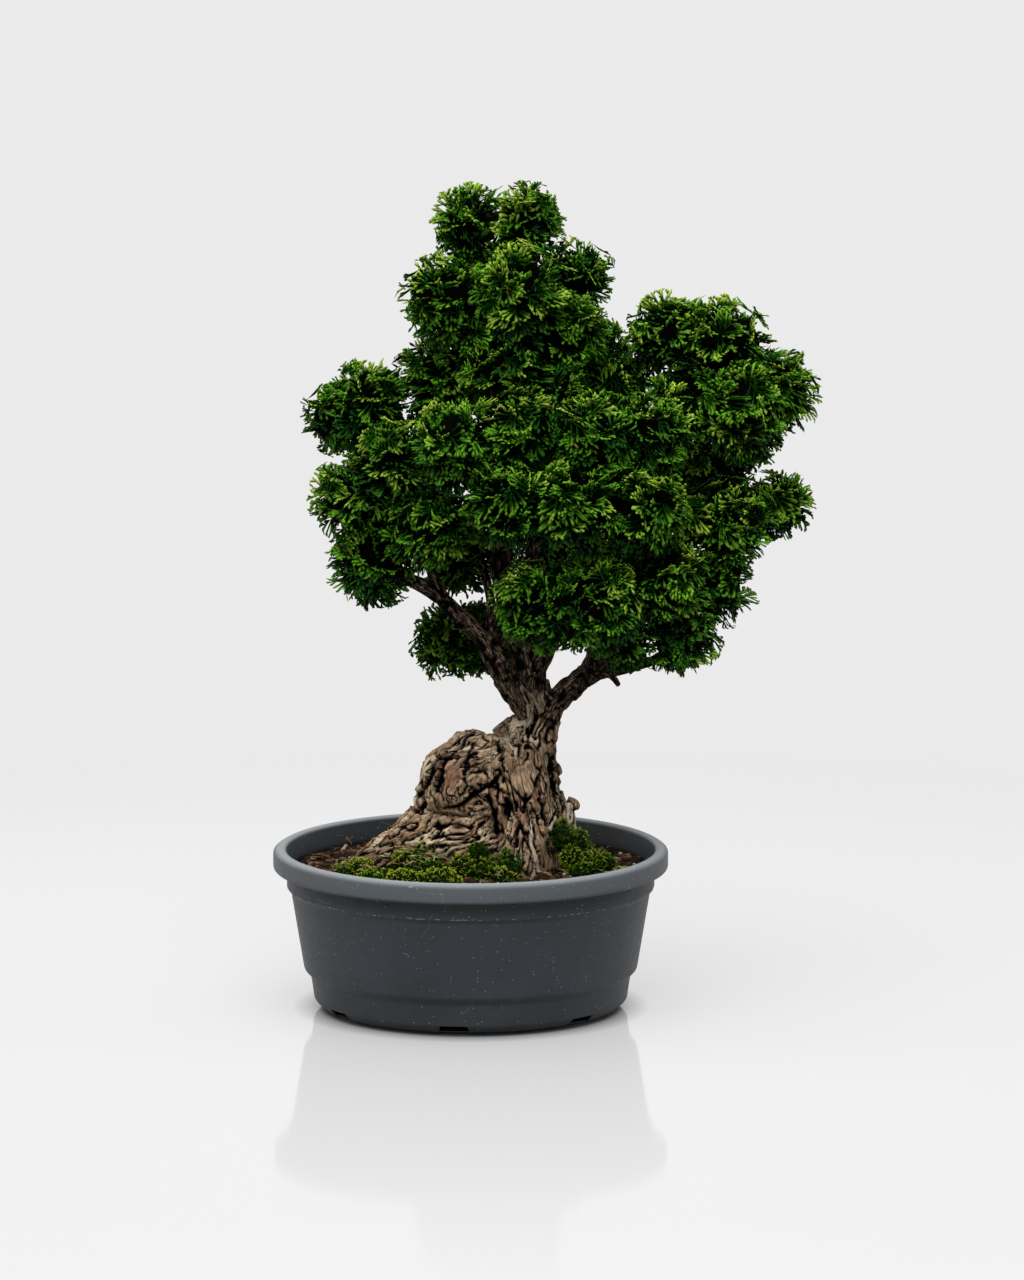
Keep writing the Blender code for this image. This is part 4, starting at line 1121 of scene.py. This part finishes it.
# %% Foliage materials
def leaf_skin():
    material, add = start("waxy scale leaves")
    tone, tip = [add("Attribute", attribute_name=name, output="Fac") for name in ("tone", "tip")]
    # Partly painted shade: towards the root of each finger and spray the colour goes nearly black, both
    # older leaves and the shade among them.
    old_and_shaded = add("ValToRGB", tone, stops=[(0.0, "#020801"), (0.5, "#071e04"), (1.0, "#1a4709")])
    young = add("ValToRGB", tone, stops=[(0.0, "#0b2b06"), (0.35, "#2d730e"), (0.65, "#7ccb20"),
                                         (1.0, "#d4f552")])
    outer = add("MapRange", tip, 0.45, 1.0)
    blotch = add("MapRange", grain(add, 22, 2), 0.4, 0.65, To_Max=0.25)
    dry = add("Math", grain(add, 9, 1), 0.76, operation="GREATER_THAN")
    base = add("MixRGB", outer, old_and_shaded, young)
    for mask, colour in ((blotch, "#123c14"),
                         (add("Math", dry, 0.6, operation="MULTIPLY"), "#8a5a22")):
        base = add("MixRGB", mask, base, colour)
    return finished(
        material, Roughness=0.5, IOR=1.42, Base_Color=base,
        Specular_IOR_Level=add("Math", outer, 0.3, operation="MULTIPLY"),
        Normal=add("Bump", Height=grain(add, 1.3, 2), Strength=0.35, Distance=0.5 * MM))


def shade_leaves():
    material, add = start("shaded inner leaves")
    return finished(
        material, Roughness=0.95, IOR=1.4, Specular_IOR_Level=0.05,
        # Painted shade: the core is nearly black.
        Base_Color=add("ValToRGB", grain(add, 4, 4), stops=[(0.35, "#000100"), (0.65, "#020601")]))


LEAF_SKIN = leaf_skin()
SHADE = shade_leaves()

# %% [markdown]
# Deep inside a head the leaves are old and too crowded to tell apart. There a lumpy core
# stands for them, painted nearly black green as painted shade, and it keeps light from
# passing straight through the crown. The core is well inside the sprays that stand out of it.
# The grower clips the heads round, so fingers that stick out too far are cut back.

# %% Grow the crown
CORE_SHARE, CORE_ROWS, CORE_COLUMNS = 0.67, 11, 16
PRUNED_AT, PRUNED_SHARE = 1.12, 0.25
rng = np.random.default_rng(7)


def pruned(points, head):
    """What sticks out too far from its own head is cut back to a quarter of its excess."""
    centre, limit = ALL_HEADS[head, :3], PRUNED_AT * ALL_HEADS[head, 3]
    arm = points - centre
    reach = np.linalg.norm(arm, axis=1)
    kept = np.where(reach > limit, limit + PRUNED_SHARE * (reach - limit), reach)
    return centre + arm * (kept / np.maximum(reach, 1e-9))[:, None]


def head_core(own):
    """A lump of shade leaves: a sphere whose radius swells and pinches with noise."""
    centre, radius = ALL_HEADS[own, :3], ALL_HEADS[own, 3]
    ball = lump_grid((0, 0, 0), (1, 1, 1), CORE_ROWS, CORE_COLUMNS)
    wave = swell(ball.reshape(-1, 3) * radius + centre, 9, 3).reshape(*ball.shape[:2], 1)
    return closed_tube(centre + ball * radius * CORE_SHARE * (1 + 0.16 * wave))


own = 0
for group, heads in HEADS.items():
    numbers = range(own, own + len(heads))
    own += len(heads)
    *grown, heads_of_sprays = [
        np.concatenate(parts) for parts in zip(*[head_sprays(k, rng) for k in numbers])]
    points, faces, tip, tone = grow_sprays(*grown, rng, FAN_PLAN)
    points = pruned(points, heads_of_sprays[spray_of_point(len(heads_of_sprays), FAN_PLAN)])
    nodes = [f"foliage_{group}_{k + 1:02d}" for k in range(len(heads))]
    sprays = put_mesh(f"sprays_{group}", points, [faces], "foliage", LEAF_SKIN,
                      tip=tip, tone=tone)
    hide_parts(*nodes)
    cores, core_faces = joined([head_core(k) for k in numbers])
    core = put_mesh(f"painted_shade_core_{group}", cores, core_faces, "foliage", SHADE)
    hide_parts(*nodes)
    print(group, "sprays:", len(grown[0]))

# %% [markdown]
# The potting mix is bark compost with grit. It lies level with the shoulder at the wall
# and rises round the foot of the tree. A heap like that is a height field: one height
# for each place, which is worked out on rings from the wall to the middle.

# %% Soil
SOIL_EDGE, SOIL_RISE, SOIL_SPREAD = 91.0, 9.0, 62.0
SOIL_MIDDLE = np.array([12.0, 5.0])
SOIL_RADIUS, SOIL_BASE = 118.0, 40.0
SOIL_RINGS, SOIL_SIDES = 64, 200


def soil_height(x, y):
    """Edge height + rise * exp(-(distance / spread) ** 2) + a slow wave + crumbs."""
    distance = np.hypot(x - SOIL_MIDDLE[0], y - SOIL_MIDDLE[1])
    wave = 0.8 * np.sin(0.11 * x + 1) * np.sin(0.13 * y + 2)
    flat = np.stack([x, y, 0 * x], -1).reshape(-1, 3)
    crumbs = (0.7 * swell(flat, 3.4, 71) + 0.4 * swell(flat, 1.7, 72)).reshape(np.shape(x))
    return SOIL_EDGE + SOIL_RISE * np.exp(-(distance / SOIL_SPREAD) ** 2) + wave + crumbs


def soil_grid():
    """Rings up the wall and then inwards over the heap."""
    radius = np.concatenate([[SOIL_RADIUS * 0.88], np.linspace(SOIL_RADIUS, 1.5, SOIL_RINGS)])[:, None]
    angle = np.linspace(0, 2 * np.pi, SOIL_SIDES, endpoint=False)
    x, y = radius * np.cos(angle), radius * np.sin(angle)
    height = soil_height(x, y)
    height[0] = SOIL_BASE
    return np.stack([x, y, height], -1)


def crumbly(name, blotches, crumbs, strength, *stops):
    """A dull, loose surface: noise colours and noise bumps, each given as mm and detail."""
    material, add = start(name)
    return finished(
        material, Roughness=0.95, Specular_IOR_Level=0.05,
        Base_Color=add("ValToRGB", grain(add, *blotches), stops=stops),
        Normal=add("Bump", Height=grain(add, *crumbs), Strength=strength, Distance=1.0 * MM))


COMPOST = crumbly("damp bark compost", (2.6, 6), (1.2, 5), 0.9,
                  (0.3, "#120c08"), (0.52, "#2e2118"), (0.75, "#54402f"))
soil = put_mesh("compost", *closed_tube(soil_grid()), "soil", COMPOST)
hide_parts("soil")

# %% [markdown]
# On the mix lie bits of bark, grit and perlite. Each is a small block with its eight
# corners pushed about. They are scattered over the heap by seeded random draws, laid
# flat with a slight tilt, and given a number that picks their colour.

# %% Loose bits
CHIPS, GRIT_SHARE = 1500, 0.05
TREE_FOOT = np.array([[12, 2, 44], [-40, -5, 24]])


def scattered(count, rng, inner=0.0, outer=113.0):
    """Places on the heap, even by area, outside the tree's foot."""
    radius = np.sqrt(rng.uniform(inner ** 2, outer ** 2, count * 2))
    angle = rng.uniform(0, 2 * np.pi, count * 2)
    place = np.stack([radius * np.cos(angle), radius * np.sin(angle)], -1)
    away = np.linalg.norm(place[:, None] - TREE_FOOT[None, :, :2], axis=-1) > TREE_FOOT[:, 2]
    return place[away.all(1)][:count]


def blocks(place, size, yaw, tilt, rng):
    """Blocks of the given sizes on the heap, corners jittered, turned by yaw and tilted."""
    corner = np.array(list(np.ndindex(2, 2, 2))) - 0.5
    local = corner * size[:, None] * rng.uniform(0.55, 1.15, (len(place), 8, 3))
    lean = np.stack([np.cos(tilt), np.sin(tilt)], -1)
    x = local[..., 0] * lean[:, None, 0] - local[..., 2] * lean[:, None, 1]
    z = local[..., 0] * lean[:, None, 1] + local[..., 2] * lean[:, None, 0]
    turn_x, turn_y = np.cos(yaw)[:, None], np.sin(yaw)[:, None]
    points = np.stack([x * turn_x - local[..., 1] * turn_y,
                       x * turn_y + local[..., 1] * turn_x, z], -1)
    points[..., :2] += place[:, None]
    points[..., 2] += (soil_height(place[:, 0], place[:, 1]) + 0.3 * size[:, 2])[:, None]
    quads = np.array([(0, 1, 3, 2), (4, 6, 7, 5), (0, 4, 5, 1), (2, 3, 7, 6), (0, 2, 6, 4),
                      (1, 5, 7, 3)])
    faces = (np.arange(len(place))[:, None, None] * 8 + quads).reshape(-1, 4)
    return points.reshape(-1, 3), faces


def crumb_material():
    material, add = start("weathered bark chips and perlite")
    tone = add("Attribute", attribute_name="tone", output="Fac")
    base = add("ValToRGB", tone, stops=[(0.0, "#1e140d"), (0.35, "#3b291d"), (0.6, "#6a4c36"),
                                        (0.85, "#9a8266"), (0.93, "#d9d5cc")])
    dust = add("ValToRGB", grain(add, 1.4, 4), stops=[(0.3, "#3a2a1e"), (0.7, "#c8b8a4")])
    return finished(material, Roughness=0.85, Specular_IOR_Level=0.1,
                    Base_Color=add("MixRGB", 0.4, base, dust, blend_type="OVERLAY"))


rng = np.random.default_rng(21)
place = scattered(CHIPS, rng)
count = len(place)
length = rng.gamma(3.0, 1.6, count) + 1.5
size = np.stack([length, length * rng.uniform(0.2, 0.6, count),
                 rng.uniform(0.5, 1.6, count)], -1)
tone = rng.uniform(0, 0.88, count)
grit = rng.uniform(size=count) < GRIT_SHARE
size[grit] = rng.uniform(1.3, 2.6, (grit.sum(), 1)) * rng.uniform(0.8, 1.1, (grit.sum(), 3))
tone[grit] = 0.97
points, faces = blocks(place, size, rng.uniform(0, 2 * np.pi, count),
                       rng.normal(0, 0.22, count), rng)
put_mesh("bark_chips", points, [faces], "soil", crumb_material(), False,
         tone=np.repeat(tone, 8))

# %% [markdown]
# Shed twigs of scale leaves dry to straw brown and lie on the mix. They are sprays of
# three fingers from the same function as the living ones, laid flat.

# %% Fallen twigs
def straw():
    material, add = start("dry shed leaves")
    tone = add("Attribute", attribute_name="tone", output="Fac")
    base = add("ValToRGB", tone, stops=[(0.0, "#4a2f18"), (0.5, "#7d6038"), (0.8, "#a49358"),
                                        (1.0, "#c8c08c")])
    return finished(material, Roughness=0.8, Base_Color=base)


TWIG_PLAN = np.array([(0, 0, 0, 1.0), (0, 0.35, 0.55, 0.5), (0, 0.55, -0.6, 0.4)]), 1
TWIG_WIDTH, TWIG_NOD = 0.4, -0.3
TWIGS, STRAND_REACH = 380, 104
STRANDS = [((-34, -38, 108), 9, 40), ((-60, -48, 98), 14, 26), ((24, -50, 99), 14, 22),
           ((88, -36, 98), 14, 34)]
place = scattered(TWIGS, rng)
count = len(place)
root = np.concatenate([place, soil_height(place[:, 0], place[:, 1])[:, None] + 0.9], 1)
tone = rng.uniform(0, 0.8, count)
for middle, spread, number in STRANDS:
    loose = np.array(middle) + rng.normal(0, 1, (number, 3)) * np.array([spread, spread * 0.5, 3])
    ground = soil_height(loose[:, 0], loose[:, 1]) + 1
    loose[:, 2] = np.maximum(loose[:, 2], ground)
    loose = loose[np.hypot(loose[:, 0], loose[:, 1]) < STRAND_REACH]
    root = np.concatenate([root, loose])
    tone = np.concatenate([tone, rng.uniform(0.6, 1, len(loose))])
count = len(root)
yaw = rng.uniform(0, 2 * np.pi, count)
axis = np.stack([np.cos(yaw), np.sin(yaw), rng.normal(0.05, 0.2, count)], -1)
points, faces, _, tone = grow_sprays(root, axis, np.tile(UP, (count, 1)),
                                     rng.uniform(6, 15, count), tone,
                                     np.full(count, TWIG_NOD), rng, TWIG_PLAN, TWIG_WIDTH)
put_mesh("fallen_twigs", points, [faces], "soil", straw(), tone=tone)

# %% [markdown]
# Moss grows where water stays: in round cushions against the foot of the tree and in
# feathery mats towards the rim. A cushion is a lump with shoots all over it. Each shoot
# is a small fan, made by the function that makes the tree's sprays, only much finer.

# %% Moss
MOSS = {
    "moss_right": [((60, -24, 117), (6, 7, 10), 4.6, 0.3), ((69, -22, 112), (8, 9, 10), 4.8, 0.45),
                   ((66, -31, 105), (7.5, 7, 7.5), 1.6, 0.85), ((80, -28, 101), (8, 7, 8), 1.9, 0.7),
                   ((88, -18, 98), (6, 6, 6), 4.0, 0.35), ((73, -38, 97), (8, 6, 4), 3.4, 0.4),
                   ((98, -34, 93), (6, 5, 3), 3.4, 0.6), ((86, -52, 92), (7, 5, 3), 3.4, 0.4)],
    "moss_front": [((5, -39, 110), (7.5, 7, 7), 1.5, 0.2), ((-5, -43, 100), (7, 8, 7), 4.6, 0.95),
                   ((8, -46, 99), (8, 7, 7), 4.8, 0.75), ((25, -44, 101), (9, 8, 9), 4.4, 0.35),
                   ((20, -54, 95), (9, 6, 5), 4.2, 0.75)],
    "moss_left": [((-42, -31, 100), (8, 9, 9), 4.8, 0.85), ((-33, -33, 104), (7, 7, 8), 4.8, 0.6),
                  ((-23, -32, 101), (7, 8, 9), 4.6, 0.25), ((-27, -41, 97), (8, 7, 6), 3.6, 0.2)],
    "moss_far_left": [((-72, -23, 97), (8, 7, 6), 1.9, 0.9), ((-83, -26, 94), (7, 6, 4), 3.2, 0.5)],
    "moss_strip": [((-62, -58, 95), (17, 9, 6), 2.4, 0.6), ((-41, -66, 96), (14, 9, 7), 1.8, 0.95),
                   ((-20, -70, 96), (13, 9, 8), 3.0, 0.8)],
}
MOSS_PLAN = np.array([(0, 0, 0, 1.0), (0, 0.15, 0.8, 0.6), (0, 0.3, -0.75, 0.55),
                      (0, 0.5, 0.6, 0.45), (0, 0.62, -0.6, 0.4)]), 1
SHOOTS_PER_MM2, SHOOT_WIDTH = 0.21, 0.33
CUSHION_GRID = 14, 22


def moss_leaves():
    material, add = start("fresh moss leaves")
    tone, tip = [add("Attribute", attribute_name=name, output="Fac") for name in ("tone", "tip")]
    young = add("ValToRGB", tone, stops=[(0.1, "#23580a"), (0.5, "#74b812"), (0.95, "#def642")])
    return finished(
        material, Roughness=0.65, Specular_IOR_Level=0.12,
        # Painted shade: towards the bases of the shoots the colour goes nearly black, as the shade
        # among them.
        Base_Color=add("MixRGB", add("MapRange", tip, 0.38, 0.98), "#050d02", young))


def moss_shoots(centre, radii, length, tone, rng):
    """Shoots on the part of a lump that is above the soil: root, axis, face, length, tone."""
    centre, radii = np.array(centre, float), np.array(radii, float)
    area = 4 * math.pi * (np.prod(radii) ** (2 / 3))
    out = directions(int(area * SHOOTS_PER_MM2 * (3.2 / length)), rng)
    wave = 0.3 * swell(centre + out * radii, 5, 8)[:, None]
    root = centre + out * radii * (0.93 + wave)
    above = root[:, 2] > soil_height(root[:, 0], root[:, 1]) - 1
    out, root = unit(out / radii)[above], root[above]
    count = len(out)
    axis = out + 0.3 * UP + rng.normal(0, 0.08 * length, (count, 3))
    # Painted light: shoots that face up are painted lighter; the rest of this tone varies at random.
    shade = tone + 0.2 * swell(root, 9, 5) + rng.normal(0, 0.14, count) + 0.2 * (out[:, 2] - 0.4)
    face = rng.normal(0, 1, (count, 3)) + UP
    return root, axis, face, length * rng.uniform(0.7, 1.3, count), shade, np.zeros(count)


MOSS_LEAVES = moss_leaves()
MOSS_BASE = crumbly("packed moss stems", (1.6, 5), (0.9, 3), 1.0,
                    (0.3, "#050a02"), (0.55, "#142207"), (0.75, "#385010"))
for node, lumps in MOSS.items():
    bumpy = []
    for centre, radii, _, _ in lumps:
        grid = lump_grid(centre, radii, *CUSHION_GRID)
        wave = swell(grid.reshape(-1, 3), 5, 8).reshape(*CUSHION_GRID, 1)
        middle = np.array(centre)
        bumpy.append(closed_tube(middle + (grid - middle) * (0.9 + 0.22 * wave)))
    base = put_mesh(f"{node}_cushion", *joined(bumpy), "moss", MOSS_BASE)
    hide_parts(node)
    shoots = [np.concatenate(part)
              for part in zip(*[moss_shoots(*lump, rng) for lump in lumps])]
    points, faces, tip, tone = grow_sprays(*shoots, rng, MOSS_PLAN, SHOOT_WIDTH)
    leaves = put_mesh(f"{node}_leaves", points, [faces], "moss", MOSS_LEAVES, tip=tip, tone=tone)
    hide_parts(node)
